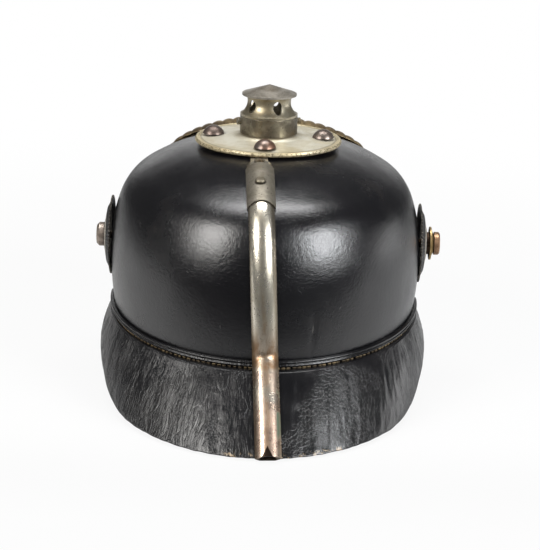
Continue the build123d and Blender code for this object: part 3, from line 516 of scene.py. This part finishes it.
def spine_nickel():
    """Rear spine: cream nickel, brown streaks, rusty at the seam, coppery below, verdigris at one edge,
    painted shade in the notch at its end and in crevices.
    """
    g = Graph("spine_nickel")
    x, _, z = g.split(g.place)
    middle = g.math("MULTIPLY_ADD", g.minus(z, KINK_Z), SPINE_SLOPE, KINK_X)
    off = g.minus(x, middle)
    cloud = g.noise(90.0, 7.0, 0.66, vector=g.stretch(1.0, 1.0, 0.45), warp=0.4)
    patch = g.noise(34.0, 6.0, 0.64)
    fine = g.noise(900.0, 4.0, 0.65)
    pits = g.cells(560.0)
    below = g.step(z, KINK_Z + 2 * MM, KINK_Z - 2 * MM)
    color = g.mix(g.step(cloud, 0.38, 0.64), (0.82, 0.77, 0.66), (0.62, 0.57, 0.46))
    color = g.mix(g.times(below, g.step(patch, 0.35, 0.6)), color, (0.62, 0.46, 0.36))
    ragged = g.math("MULTIPLY_ADD", g.minus(cloud, 0.5), 0.006, off)
    streak = g.step(g.math("ABSOLUTE", ragged), 0.0006, 0.0018, 1.0, 0.0)
    streak = g.times(streak, g.step(patch, 0.42, 0.55))
    color = g.tint(color, streak, 0.62, (0.2, 0.125, 0.065))
    rust = g.times(g.step(z, KINK_Z + 30 * MM, KINK_Z + 8 * MM), g.step(z, KINK_Z - 1 * MM, KINK_Z + 2 * MM))
    color = g.mix(g.times(rust, g.step(cloud, 0.36, 0.56, 0.45, 0.95)), color, (0.26, 0.14, 0.065))
    pit = g.times(g.step(pits, 0.16, 0.34, 1.0, 0.0), g.step(fine, 0.5, 0.58))
    color = g.tint(color, pit, 0.6, (0.1, 0.06, 0.03))
    green = g.times(g.step(off, -4.9 * MM, -6.0 * MM), g.step(cloud, 0.49, 0.53))
    green = g.times(green, g.times(g.step(z, 9 * MM, 14 * MM), g.step(z, 36 * MM, 30 * MM)))
    color = g.mix(green, color, (0.03, 0.13, 0.095))
    # Painted shade: a dark triangle at the spine's end stands in for the shade in its notch.
    notch = g.minus(NOTCH_TOP, g.math("MULTIPLY_ADD", g.math("ABSOLUTE", off), 1.6, z))
    color = g.mix(g.step(notch, 0.0, 0.5 * MM), color, (0.03, 0.018, 0.012))
    flank = g.step(g.math("ABSOLUTE", off), 5.2 * MM, 6.6 * MM)
    color = g.tint(color, flank, 0.65, (0.17, 0.125, 0.075))
    # Painted shade in crevices, from ambient occlusion.
    crevice_shade = g.crevice(0.003)
    color = g.tint(color, crevice_shade, 0.75, (0.05, 0.036, 0.024))
    rough = g.plus(g.step(cloud, 0.3, 0.75, 0.22, 0.36), g.times(streak, 0.14))
    rough = g.plus(rough, g.times(rust, 0.1))
    height = g.weigh((fine, 0.4), (cloud, 2.5), (pit, -1.0))
    return g.finish(color, rough, g.minus(0.92, g.times(green, 0.8)), g.bump(height, 0.4, 0.00012))


def set_material(piece, material):
    piece.data.materials.clear()
    piece.data.materials.append(material)


def mesh_piece(name, points, faces, material, body="helmet"):
    """One mesh object in the frame, riding on a body."""
    mesh = bpy.data.meshes.new(name)
    mesh.from_pydata([tuple(p) for p in points], [], faces)
    mesh.validate()
    mesh.update()
    piece = bpy.data.objects.new(name, mesh)
    scene.collection.objects.link(piece)
    mesh.polygons.foreach_set("use_smooth", [True] * len(mesh.polygons))
    set_material(piece, material)
    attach(piece, body)
    return piece


def add_ring(points, places, side):
    """Add places to the points, mirrored where side is -1, and give back their numbers."""
    first = len(points)
    points += [(p.x, side * p.y, p.z) for p in places]
    return list(range(first, len(points)))


def swept_faces(rings, side):
    """Faces of a closed solid swept through rings of point numbers, turned over where side is -1."""
    faces = []
    for first, second in zip(rings, rings[1:]):
        for k in range(len(first)):
            n = (k + 1) % len(first)
            faces.append((first[k], first[n], second[n], second[k]))
    faces += [tuple(rings[0][::-1]), tuple(rings[-1])]
    return faces if side > 0 else [face[::-1] for face in faces]


def hermite(t, p1, p2, m1, m2):
    """Point at a share of a curve between two points with their slopes."""
    return ((2 * t ** 3 - 3 * t ** 2 + 1) * p1 + (t ** 3 - 2 * t ** 2 + t) * m1
            + (3 * t ** 2 - 2 * t ** 3) * p2 + (t ** 3 - t ** 2) * m2)


def dome_arcs():
    """Middle, radius, first and last slope of the skull profile's arcs, and its greatest half length."""
    y = 0.0
    z = CROWN
    slope = 0.0
    found = []
    for radius, turn in ARCS:
        centre = (y - radius * math.sin(slope), z - radius * math.cos(slope))
        found.append((centre[0], centre[1], radius, slope, slope + math.radians(turn)))
        slope += math.radians(turn)
        y = centre[0] + radius * math.sin(slope)
        z = centre[1] + radius * math.cos(slope)
    found.append((y - HEM_RADIUS, z, HEM_RADIUS, slope, slope + math.radians(HEM_TURN)))
    return found, y


DOME, HALF_LENGTH = dome_arcs()


def oval(offset=0.0):
    return (HALF_WIDTH + offset) / (HALF_LENGTH + offset)


def dome_radius(height, offset=0.0):
    """Half length of the skull's face at a height."""
    for centre_y, centre_z, radius, _, high in DOME:
        if height >= centre_z + (radius + offset) * math.cos(high) - 1e-9:
            return centre_y + math.sqrt(max((radius + offset) ** 2 - (height - centre_z) ** 2, 0.0))
    return HALF_LENGTH


def dome_points(offset, count):
    """Half length and height pairs down the profile, evenly by slope."""
    points = []
    for centre_y, centre_z, radius, low, high in DOME:
        steps = max(3, round(count * (high - low) * radius / ROWS_LENGTH))
        for k in range(steps):
            a = low + (high - low) * k / steps
            points.append((centre_y + (radius + offset) * math.sin(a),
                           centre_z + (radius + offset) * math.cos(a)))
    return points


def seam_at(y):
    return SEAM - DROOP * abs(y)


def on_oval(radius, turn, offset=0.0):
    """Point of the oval at a half length and a turn from the rear."""
    return Vector((oval(offset) * radius * math.sin(turn), radius * math.cos(turn), 0.0))


def seam_point(turn, offset, drop=0.0):
    """Point on the skull's face under the seam line, at a turn from the rear."""
    height = SEAM
    for _ in range(4):
        y = dome_radius(height, offset) * math.cos(turn)
        height = seam_at(y) - drop
    place = on_oval(dome_radius(height, offset), turn, offset)
    return Vector((place.x, place.y, height))


def crease(y, z, x):
    """Depth of the upright crease in the skull's rear, at a place."""
    if y < 0 or not CREASE_FOOT * MM < z < CREASE_TOP * MM:
        return 0.0
    off = (x - CREASE_X) / CREASE_WIDTH
    rise = math.sin(math.pi * (z / MM - CREASE_FOOT) / (CREASE_TOP - CREASE_FOOT))
    return CREASE_DEPTH * math.exp(-off * off) * rise


def make_skull(material):
    """Closed shell: outer face, rim at the hem and inner face, open at the crown's vent hole."""
    turns = SKULL_TURNS
    points = []
    rings = []
    for offset, count in ((0.0, OUTER_ROWS), (-WALL, INNER_ROWS)):
        profile = [p for p in dome_points(offset, count) if p[0] > CROWN_HOLE and p[1] > SEAM + 2 * MM]
        profile.insert(0, (CROWN_HOLE, CROWN + offset))
        shell = []
        for index, (radius, height) in enumerate(profile):
            ring = []
            ahead = profile[min(index + 1, len(profile) - 1)]
            behind = profile[max(index - 1, 0)]
            fall = Vector((behind[1] - ahead[1], ahead[0] - behind[0])).normalized()
            for k in range(turns):
                turn = 2 * math.pi * k / turns
                p = on_oval(radius, turn, offset)
                p.z = height
                if offset == 0.0 and radius > SMOOTH_CROWN:
                    out = Vector((math.sin(turn) * fall.x, math.cos(turn) * fall.x, fall.y))
                    shape = noise.fractal(p * 17.0, 1.0, 2.1, 3) * WAVE_HEIGHT * MM
                    p += out * (min(shape, WAVE_MOST) - crease(p.y, p.z, p.x))
                ring.append(len(points))
                points.append(p)
            shell.append(ring)
        for drop in (0.0, TUCK / 2, TUCK):
            ring = []
            for k in range(turns):
                ring.append(len(points))
                points.append(seam_point(2 * math.pi * k / turns, offset, drop))
            shell.append(ring)
        rings.append(shell)
    path = rings[0] + rings[1][::-1]
    faces = []
    for first, second in zip(path, path[1:] + path[:1]):
        for k in range(turns):
            n = (k + 1) % turns
            faces.append((first[k], first[n], second[n], second[k]))
    return mesh_piece("skull_shell", points, faces, material)


def skirt_point(turn, height, reach, offset=0.0):
    """Point on a visor's outer face, or offset from it, at a height."""
    level = seam_at(HALF_LENGTH)
    top_long = dome_radius(level) + BAND_THICK + GAP * 2
    top_wide = top_long * oval(BAND_THICK)
    along = (reach - top_long) / level
    across = (VISOR_HALF_WIDTH - top_wide) / level
    wide = VISOR_HALF_WIDTH - across * height + offset * math.hypot(1, across)
    wide += VISOR_SWELL * math.sin(math.pi * min(max(height / level, 0.0), 1.0))
    long = reach - along * height + offset * math.hypot(1, along)
    return Vector((wide * math.sin(turn), long * math.cos(turn), height))


def edge_height(shares, reach, y):
    """Height of a visor's lower edge at a distance from the helmet's middle."""
    first = shares[0][0] * reach
    top = seam_at(first) - BAND - GAP - EDGE_LIFT
    y = abs(y)
    pts = [(s * reach, EDGE_LIFT + h * top) for s, h in shares]
    for index in range(len(pts) - 1):
        if y <= pts[index + 1][0]:
            p0 = pts[max(index - 1, 0)]
            p1 = pts[index]
            p2 = pts[index + 1]
            p3 = pts[min(index + 2, len(pts) - 1)]
            t = max((y - p1[0]) / (p2[0] - p1[0]), 0.0)
            m1 = (p2[1] - p0[1]) / (p2[0] - p0[0]) * (p2[0] - p1[0])
            m2 = (p3[1] - p1[1]) / (p3[0] - p1[0]) * (p2[0] - p1[0])
            return hermite(t, p1[1], p2[1], m1, m2)
    return EDGE_LIFT


def visor_edge(turn, shares, reach):
    """Where a visor's outer face meets its lower edge, at a turn from the visor's middle."""
    low = 0.0
    high = seam_at(0.0) - BAND - GAP
    for _ in range(28):
        middle = (low + high) / 2
        if middle > edge_height(shares, reach, skirt_point(turn, middle, reach).y):
            high = middle
        else:
            low = middle
    return (low + high) / 2


def make_visor(name, shares, reach, side, material):
    """Flared leather visor with rounded edge and the flange that is turned in under the welt."""
    turns = 420
    rows = 60
    start = shares[0][0] * reach
    limit = math.acos(min(1.0, (start + 0.2 * MM) / skirt_point(0.0, SEAM - BAND, reach).y))
    points = []
    rings = []
    for k in range(turns + 1):
        turn = -limit + 2 * limit * k / turns
        edge = visor_edge(turn, shares, reach)
        top = min(seam_at(skirt_point(turn, SEAM - BAND, reach).y) - BAND - GAP, SEAM)
        edge = min(edge, top - 0.3 * MM)
        inner = seam_point(turn, GAP, BAND + GAP)
        column = [Vector((inner.x, inner.y, top))]
        if edge < top - 6 * MM:
            edge += noise.noise(Vector((turn * 26.0, side * 3.0, 0.5))) * 0.25 * MM
        edge = max(edge, EDGE_LIFT * 0.7)
        for row in range(rows + 1):
            share = row / rows
            p = skirt_point(turn, top + (edge - top) * share, reach)
            fold = noise.fractal(Vector((turn * 15.0, share * 1.3, side * 2.0)), 0.9, 2.1, 4) * 0.3 * MM
            fold += noise.noise(p * 24.0) * 0.35 * MM
            middle = min(1.0, share * 6.0, (1.02 - share) * 12.0)
            column.append(skirt_point(turn, p.z, reach, max(min(fold, FOLD_OUT), -FOLD_IN) * middle))
        for depth in (0.3, 0.7):
            column.append(skirt_point(turn, edge - EDGE_ROUND, reach, -VISOR_THICK * depth))
        for row in range(0, rows + 1, 4):
            share = 1 - row / rows
            height = top - VISOR_THICK * (1 - share) + (edge - top) * share
            column.append(skirt_point(turn, height, reach, -VISOR_THICK))
        column.append(Vector((inner.x, inner.y, top - VISOR_THICK)))
        rings.append(add_ring(points, column, side))
    return mesh_piece(name, points, swept_faces(rings, side), material)


def make_welt(name, end, side, material):
    """Leather welt between skull and visor: two low ridges, as folded and sewn leather has."""
    turns = 260
    limit = math.acos(end / HALF_LENGTH)
    profile = []
    for k in range(25):
        share = k / 24
        ridge = 0.62 + 0.38 * abs(math.sin(share * math.pi * 2.0 + 0.15))
        taper = min(1.0, share / 0.08 + 0.35, (1 - share) / 0.06 + 0.4)
        profile.append((share * BAND, GAP + (BAND_THICK - GAP) * ridge * taper))
    profile += [(BAND, GAP), (0.0, GAP)]
    points = []
    rings = []
    for k in range(turns + 1):
        turn = -limit + 2 * limit * k / turns
        section = [seam_point(turn, offset, drop) for drop, offset in profile]
        rings.append(add_ring(points, section, side))
    return mesh_piece(name, points, swept_faces(rings, side), material)


def closed_grid(points, faces, top, bottom):
    """Add a solid whose top and bottom are grids of the same count."""
    rows = len(top)
    columns = len(top[0])
    base = len(points)
    for grid in (top, bottom):
        for row in grid:
            points.extend(row)

    def at(layer, row, column):
        return base + layer * rows * columns + row * columns + column

    for row in range(rows - 1):
        for column in range(columns - 1):
            face = (at(0, row, column), at(0, row, column + 1), at(0, row + 1, column + 1),
                    at(0, row + 1, column))
            faces.append(face)
            faces.append(tuple(index + rows * columns for index in face[::-1]))
    rim = [(0, c) for c in range(columns)] + [(r, columns - 1) for r in range(1, rows)]
    rim += [(rows - 1, c) for c in range(columns - 2, -1, -1)] + [(r, 0) for r in range(rows - 2, 0, -1)]
    for here, there in zip(rim, rim[1:] + rim[:1]):
        faces.append((at(0, *there), at(0, *here), at(1, *here), at(1, *there)))


def make_stitches(name, end, side, material):
    """Waxed thread: short stitches along the welt's lower edge, each a little out of line."""
    draw = random.Random(5)
    limit = math.acos(end / HALF_LENGTH)
    count = round(limit * 2 * 100 * MM / STITCH_PITCH)
    points = []
    faces = []
    for k in range(count):
        turn = -limit + 2 * limit * (k + 0.5 + draw.uniform(-0.12, 0.12)) / count
        length = STITCH_LENGTH * draw.uniform(0.8, 1.1)
        drop = BAND + draw.uniform(0.0, 0.35) * MM
        middle = seam_point(turn, STITCH_OUT, drop)
        ahead = seam_point(turn + 0.01, STITCH_OUT, drop + draw.uniform(-0.1, 0.1) * MM)
        along = (ahead - middle).normalized()
        out = along.cross(Vector((0.0, 0.0, 1.0))).normalized()
        rise = out.cross(along)
        rings = []
        for step in range(STITCH_RINGS):
            share = step / (STITCH_RINGS - 1)
            wide = STITCH_RADIUS * math.sin(math.pi * (0.12 + 0.76 * share)) ** 0.5
            centre = middle + along * length * (share - 0.5)
            ring = []
            for corner in range(STITCH_SIDES):
                a = corner * math.pi / (STITCH_SIDES / 2)
                ring.append(centre + (out * math.cos(a) + rise * math.sin(a)) * wide)
            rings.append(add_ring(points, ring, side))
        faces += swept_faces(rings, -side)
    return mesh_piece(name, points, faces, material)


def make_liner(material):
    """Leather liner: a band at the hem, cut into ten tongues, each bowed and turned in round the head."""
    rows = 34
    columns = 15
    points = []
    faces = []
    share = oval(-WALL)
    for tongue in range(LINER_TONGUES):
        centre = math.pi / 2 + 2 * math.pi * tongue / LINER_TONGUES
        half = math.pi / LINER_TONGUES
        top = []
        bottom = []
        for row in range(rows):
            along = row / (rows - 1)
            radius, height, fall, slope = liner_place(along)
            slit = max(0.0, (height - LINER_SLIT_FOOT) / (LINER_TIP[1] - LINER_SLIT_FOOT))
            gap = min(0.5, (SLIT_GAP + SLIT_SPREAD * slit) / radius) if slit > 0 else 0.0
            upper = []
            lower = []
            for column in range(columns):
                across = column / (columns // 2) - 1
                turn = centre + (half - gap) * across
                bow = (1 - across * across) * TONGUE_BOW * MM * slit
                bow -= abs(across) ** 3 * TONGUE_CURL * MM * slit
                wave = noise.noise(Vector((math.cos(turn) * 6, math.sin(turn) * 6, along * 5)))
                lift = bow + wave * TONGUE_WAVE * MM * min(1.0, along * 4)
                for line, out in ((upper, lift), (lower, lift - LINER_SHEET)):
                    r = radius + fall * out
                    line.append(Vector((share * r * math.cos(turn), r * math.sin(turn),
                                        height + slope * out)))
            top.append(upper)
            bottom.append(lower)
        closed_grid(points, faces, top, bottom)
    return mesh_piece("liner_tongues", points, faces, material)


def liner_place(along):
    """Half length, height and outward direction on the liner's path, from the hem (0) to the tips (1)."""
    spots = [*LINER_PLACES, LINER_TIP]
    where = along * (len(spots) - 1)
    index = min(int(where), len(spots) - 2)
    t = where - index
    p0 = Vector(spots[max(index - 1, 0)])
    p1 = Vector(spots[index])
    p2 = Vector(spots[index + 1])
    p3 = Vector(spots[min(index + 2, len(spots) - 1)])
    m1 = (p2 - p0) / 2
    m2 = (p3 - p1) / 2
    place = hermite(t, p1, p2, m1, m2)
    run = (p2 - p1).normalized()
    return place.x, place.y, run.y, -run.x


def emblem_point(u, v, offset):
    """Point of the dome's face at an offset that lies behind a place on the emblem's plane."""
    rise = math.cos(EMBLEM_LEAN)
    back = math.sin(EMBLEM_LEAN)
    start = Vector((u, -EMBLEM_STAND + v * back, CROWN - EMBLEM_DROP + v * rise))
    inward = Vector((0.0, rise, -back))
    low, high = EMBLEM_SEARCH
    for _ in range(22):
        middle = (low + high) / 2
        p = start + inward * middle
        if p.z < CROWN + offset and math.hypot(p.x / oval(offset), p.y) < dome_radius(p.z, offset):
            high = middle
        else:
            low = middle
    return start + inward * low


def feather(points, faces, root, tip, width, height, curl=0.0):
    """One feather pressed in the plate: broad near its tip, with a raised shaft."""
    root = Vector(root) * MM
    tip = Vector(tip) * MM
    run = tip - root
    across = Vector((-run.y, run.x)).normalized()
    top = []
    bottom = []
    for row in range(FEATHER_ROWS):
        share = row / (FEATHER_ROWS - 1)
        rounding = math.sqrt(max(1 - max(share - 0.72, 0.0) ** 2 / 0.0784, 0.02))
        wide = width * MM / 2 * (0.55 + 0.45 * share) * rounding
        upper = []
        lower = []
        for column in range(FEATHER_COLUMNS):
            side = column / (FEATHER_COLUMNS // 2) - 1
            spot = root + run * share + across * (side * wide + curl * MM * share * share)
            rise = height * MM * (0.25 + 0.75 * share) * (1 - 0.6 * abs(side) ** 1.6)
            rise += 0.35 * MM * max(0.0, 1 - abs(side) * 4)
            upper.append(emblem_point(spot.x, spot.y, EMBLEM_FACE + rise))
            lower.append(emblem_point(spot.x, spot.y, EMBLEM_FACE - RELIEF_SINK))
        top.append(upper)
        bottom.append(lower)
    closed_grid(points, faces, top, bottom)


def boss(points, faces, middle, size, height, turn=0.0):
    """One rounded form in the plate: the breast, a thigh, the head or part of a wing's top."""
    top = []
    bottom = []
    for row in range(BOSS_CELLS + 1):
        a = -1 + row / (BOSS_CELLS // 2)
        upper = []
        lower = []
        for column in range(BOSS_CELLS + 1):
            b = -1 + column / (BOSS_CELLS // 2)
            x = a * math.sqrt(1 - b * b / 2)
            y = b * math.sqrt(1 - a * a / 2)
            spot = Vector((x * size[0], y * size[1]))
            spot.rotate(Matrix.Rotation(turn, 2))
            spot = (spot + Vector(middle)) * MM
            rise = height * MM * math.sqrt(max(1 - x * x - y * y, 0.0))
            upper.append(emblem_point(spot.x, spot.y, EMBLEM_FACE + rise))
            lower.append(emblem_point(spot.x, spot.y, EMBLEM_FACE - RELIEF_SINK))
        top.append(upper)
        bottom.append(lower)
    closed_grid(points, faces, top, bottom)


def make_eagle(material):
    """Spread eagle in relief: flight feathers, two rows of coverts, breast, tail, legs and head."""
    points = []
    faces = []

    def plume(*form):
        feather(points, faces, *form)

    for side in (1, -1):
        for index, (u, v) in enumerate(FLIGHT_TIPS):
            root = (side * (20 - index * 0.8), 36 - index * 4.6)
            plume(root, (side * u, v), 9.6, 1.1, side * -1.5)
        for angles, reaches, sides, heights, flat, width, height, curl in COVERTS:
            for index in range(COVERT_COUNT):
                a = math.radians(angles[0] - index * angles[1])
                reach = reaches[0] - index * reaches[1]
                root = (side * (sides[0] - index * sides[1]), heights[0] - index * heights[1])
                tip = (root[0] + side * reach * math.cos(a) * flat[0],
                       root[1] + reach * math.sin(a) * flat[1])
                plume(root, tip, width, height, side * curl)
        for index, (u, v) in enumerate(WING_TOPS):
            boss(points, faces, (side * u, v), (5.4, 3.3), 5.6 - index * 0.45, side * (0.15 - index * 0.15))
        for index, (u, v) in enumerate(TAIL_TIPS):
            plume((side * (2 + index * 2), -8), (side * u, v), 8.0, 1.4 - index * 0.2)
        boss(points, faces, (side * 11, -10), (5.0, 9.0), 3.2, side * 0.5)
        for toe in range(3):
            a = math.radians(-125 + toe * 35)
            tip = (side * (15 - 8.5 * math.cos(a)), -17 + 8.5 * math.sin(a))
            plume((side * 15, -17), tip, 2.4, 2.2)
    plume((0, -8), (0, -44.6), 8.6, 1.9)
    boss(points, faces, (0, 14), (12.0, 27.0), 5.2)
    for row in range(7):
        for column in range(-2, 3):
            u = column * 4.2 + (2.1 if row % 2 else 0.0)
            v = 34 - row * 6.6
            if abs(u) < 10.5:
                plume((u * 0.9, v + 3.5), (u, v - 4.2), 5.0, 6.3 - abs(u) * 0.3)
    boss(points, faces, (0.4, 44.5), (6.0, 7.2), 5.4, 0.3)
    plume((-2.0, 46.5), (-9.6, 44.0), 4.6, 3.6, -1.2)
    for index in range(5):
        a = math.radians(60 + index * 32)
        tip = (0.8 - 7.4 * math.cos(a), 44 + 8.4 * math.sin(a) * 0.9)
        plume((0.8, 44), tip, 3.4, 4.8)
    return mesh_piece("eagle_relief", points, faces, material)


def camera():
    """Camera at the photograph's angle, rolled a little about its view."""
    data = bpy.data.cameras.new("camera")
    data.lens = LENS
    data.sensor_width = 36.0
    data.clip_start = 0.05
    view = Vector((0.0, math.cos(ELEVATION), math.sin(ELEVATION)))
    right = Vector((-1.0, 0.0, 0.0))
    up = view.cross(right)
    right, up = (right * math.cos(ROLL) + up * math.sin(ROLL), up * math.cos(ROLL) - right * math.sin(ROLL))
    turned = Matrix((right, up, view)).transposed().to_4x4()
    turned.translation = AIM + view * DISTANCE
    eye = bpy.data.objects.new("camera", data)
    scene.collection.objects.link(eye)
    eye.matrix_world = turned
    scene.camera = eye


def lamp(name, place, aim, width, height, power, color=(1.0, 1.0, 1.0)):
    data = bpy.data.lights.new(name, "AREA")
    data.shape = "RECTANGLE"
    data.size = width
    data.size_y = height
    data.energy = power
    data.color = color
    light = bpy.data.objects.new(name, data)
    scene.collection.objects.link(light)
    light.location = place
    light.rotation_euler = (Vector(aim) - Vector(place)).to_track_quat("-Z", "Y").to_euler()


def make_floor():
    """Floor that the camera sees as white, and the lamps as pale behind and dark in front."""
    bpy.ops.mesh.primitive_plane_add(size=8.0, location=(0.0, 0.0, -0.0002))
    floor = bpy.context.object
    floor.name = "floor"
    g = Graph("floor")
    path = g.nodes.new("ShaderNodeLightPath")
    white = g.nodes.new("ShaderNodeEmission")
    white.inputs[0].default_value = (1.0, 1.0, 1.0, 1.0)
    near = g.step(g.split(g.place)[1], *FLOOR_DARK, 1.0, 0.0)
    g.finish(g.mix(near, (0.03, 0.03, 0.03), (0.6, 0.6, 0.6)), 0.9, Specular_IOR_Level=0.1)
    blend = g.nodes.new("ShaderNodeMixShader")
    far = g.step(g.vector("LENGTH", g.place), *FLOOR_FADE, 0.9, 1.0)
    share = g.math("MAXIMUM", far, g.math("MULTIPLY_ADD", near, -0.08, 0.98))
    g.put(blend.inputs[0], g.times(path.outputs["Is Camera Ray"], share))
    g.links.new(g.shader.outputs[0], blend.inputs[1])
    g.links.new(white.outputs[0], blend.inputs[2])
    g.links.new(blend.outputs[0], g.nodes["Material Output"].inputs[0])
    floor.data.materials.append(g.owner)


def make_world():
    """World that is white to the camera; mirrored rays see a narrow white backdrop in a dim room."""
    g = Graph("studio", bpy.data.worlds)
    scene.world = g.owner
    behind = g.nodes.new("ShaderNodeMapRange")
    along = g.split(g.place.node.outputs["Generated"])[1]
    for index, value in enumerate((along, *BACKDROP, 1.0, 0.0)):
        g.put(behind.inputs[index], value)
    path = g.nodes.new("ShaderNodeLightPath").outputs
    mirrored = g.math("MAXIMUM", path["Is Glossy Ray"], path["Is Transmission Ray"])
    room = g.math("MAXIMUM", g.times(mirrored, behind.outputs[0]), ROOM_LIGHT)
    back = g.nodes["Background"]
    back.inputs[0].default_value = (1.0, 1.0, 1.0, 1.0)
    g.put(back.inputs[1], g.math("MAXIMUM", path["Is Camera Ray"], room))


scene.view_settings.view_transform = "Standard"
camera()
make_floor()
make_world()
lamp("key_left", (1.0, 0.84, 0.82), (0.0, 0.0, 0.08), 0.62, 0.76, 18.0, (1.0, 0.98, 0.95))
lamp("key_right", (-1.0, 0.84, 0.66), (0.0, 0.0, 0.08), 0.7, 0.64, 22.0, (0.96, 0.98, 1.0))
lamp("side_right", (-1.2, -0.35, 0.11), (0.0, 0.0, 0.08), 0.7, 0.18, 1.0)
lamp("top", (0.0, -0.1, 1.3), (0.0, 0.0, 0.1), 1.0, 0.42, 12.0)

skull_leather = lacquered_leather()
rear_leather = crazed_leather("rear_visor_leather", REAR_CRACKS, 0.9)
front_leather = crazed_leather("front_visor_leather", FRONT_CRACKS, 0.0)
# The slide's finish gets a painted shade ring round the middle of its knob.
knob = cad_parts["slide_knob"]
knob_place = sum((knob.matrix_world @ Vector(corner) for corner in knob.bound_box), Vector()) / 8
# Every aged_metal finish below has painted shade in its crevices.
metals = {
    "spine": spine_nickel(),
    "nickel": aged_metal("nickel", (0.5, 0.465, 0.39), (0.34, 0.3, 0.23), (0.24, 0.16, 0.085),
                         (0.05, 0.038, 0.026), 0.27, 0.5, 0.9, 0.5),
    "slide": aged_metal("slide_nickel", (0.29, 0.265, 0.22), (0.2, 0.18, 0.14), (0.15, 0.115, 0.07),
                        (0.04, 0.033, 0.025), 0.42, 0.8, 0.8, 0.54, ring=knob_place),
    "plate": plate_nickel(),
    "neck": aged_metal("neck_nickel", (0.44, 0.4, 0.3), (0.31, 0.265, 0.175), (0.2, 0.15, 0.08),
                       (0.045, 0.034, 0.022), 0.28, 0.5, 0.85, 0.5, (0.7, 0.66, 0.56)),
    "cap": aged_metal("cap_steel", (0.42, 0.385, 0.33), (0.22, 0.2, 0.165), (0.15, 0.12, 0.085),
                      (0.04, 0.032, 0.025), 0.38, 0.7, 0.8, 0.48),
    "dark": aged_metal("dark_steel", (0.3, 0.27, 0.2), (0.11, 0.095, 0.07), (0.2, 0.15, 0.08),
                       (0.02, 0.016, 0.012), 0.3, 0.85, 0.85, 0.5),
    "stud": aged_metal("stud_steel", (0.24, 0.2, 0.175), (0.13, 0.095, 0.08), (0.22, 0.11, 0.065),
                       (0.03, 0.02, 0.016), 0.3, 0.5, 0.8, 0.47),
    "brass": aged_metal("old_brass", (0.55, 0.4, 0.19), (0.36, 0.25, 0.11), (0.18, 0.1, 0.05),
                        (0.04, 0.026, 0.016), 0.32, 0.5, 0.85, 0.52),
    "emblem": aged_metal("emblem_gilt", (0.36, 0.27, 0.145), (0.15, 0.108, 0.062), (0.06, 0.042, 0.028),
                         (0.02, 0.015, 0.011), 0.36, 0.7, 0.8, 0.47, (0.7, 0.54, 0.3)),
    "post": aged_metal("post_steel", (0.42, 0.36, 0.31), (0.26, 0.21, 0.175), (0.2, 0.13, 0.085),
                       (0.045, 0.032, 0.025), 0.36, 0.6, 0.8, 0.5),
    "copper": aged_metal("copper_steel", (0.4, 0.24, 0.14), (0.25, 0.15, 0.09), (0.13, 0.08, 0.05),
                         (0.03, 0.02, 0.015), 0.35, 0.6, 0.8, 0.5),
}
liner_leather = tanned_leather()
rosette = cockade_paint()
thread = stitch_thread()
looks = {
    "front_trim": "nickel", "base_plate": "plate", "bayonet_collar": "dark", "bayonet_lugs": "dark",
    "vent_neck": "neck", "neck_cap": "cap", "crown_studs": "stud", "stud_washers": "brass",
    "rear_spine": "spine", "vent_slide": "slide", "slide_knob": "dark", "slide_keeper": "slide",
    "eagle_plate": "emblem", "plate_loops": "brass",
    "post_left": "post", "post_right": "copper", "strap_ring": "brass", "post_washers": "brass",
    "post_nuts": "brass"}
for node, look in looks.items():
    set_material(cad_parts[node], metals[look])
set_material(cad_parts["plate_wedges"], liner_leather)
for node in ("cockade_left", "cockade_right"):
    set_material(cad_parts[node], rosette)

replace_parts(make_skull(skull_leather), "skull")
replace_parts(make_visor("rear_visor_leather", REAR_EDGE, REAR_REACH, 1, rear_leather), "rear_visor")
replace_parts(make_visor("front_visor_leather", FRONT_EDGE, FRONT_REACH, -1, front_leather), "front_visor")
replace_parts(make_welt("rear_welt", -4.0 * MM, 1, rear_leather), "rear_band")
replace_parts(make_welt("front_welt", 19.0 * MM, -1, front_leather), "front_band")
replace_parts(make_liner(liner_leather), "liner")
make_stitches("rear_stitches", 4.0 * MM, 1, thread)
make_stitches("front_stitches", 23.0 * MM, -1, thread)
make_eagle(metals["emblem"])
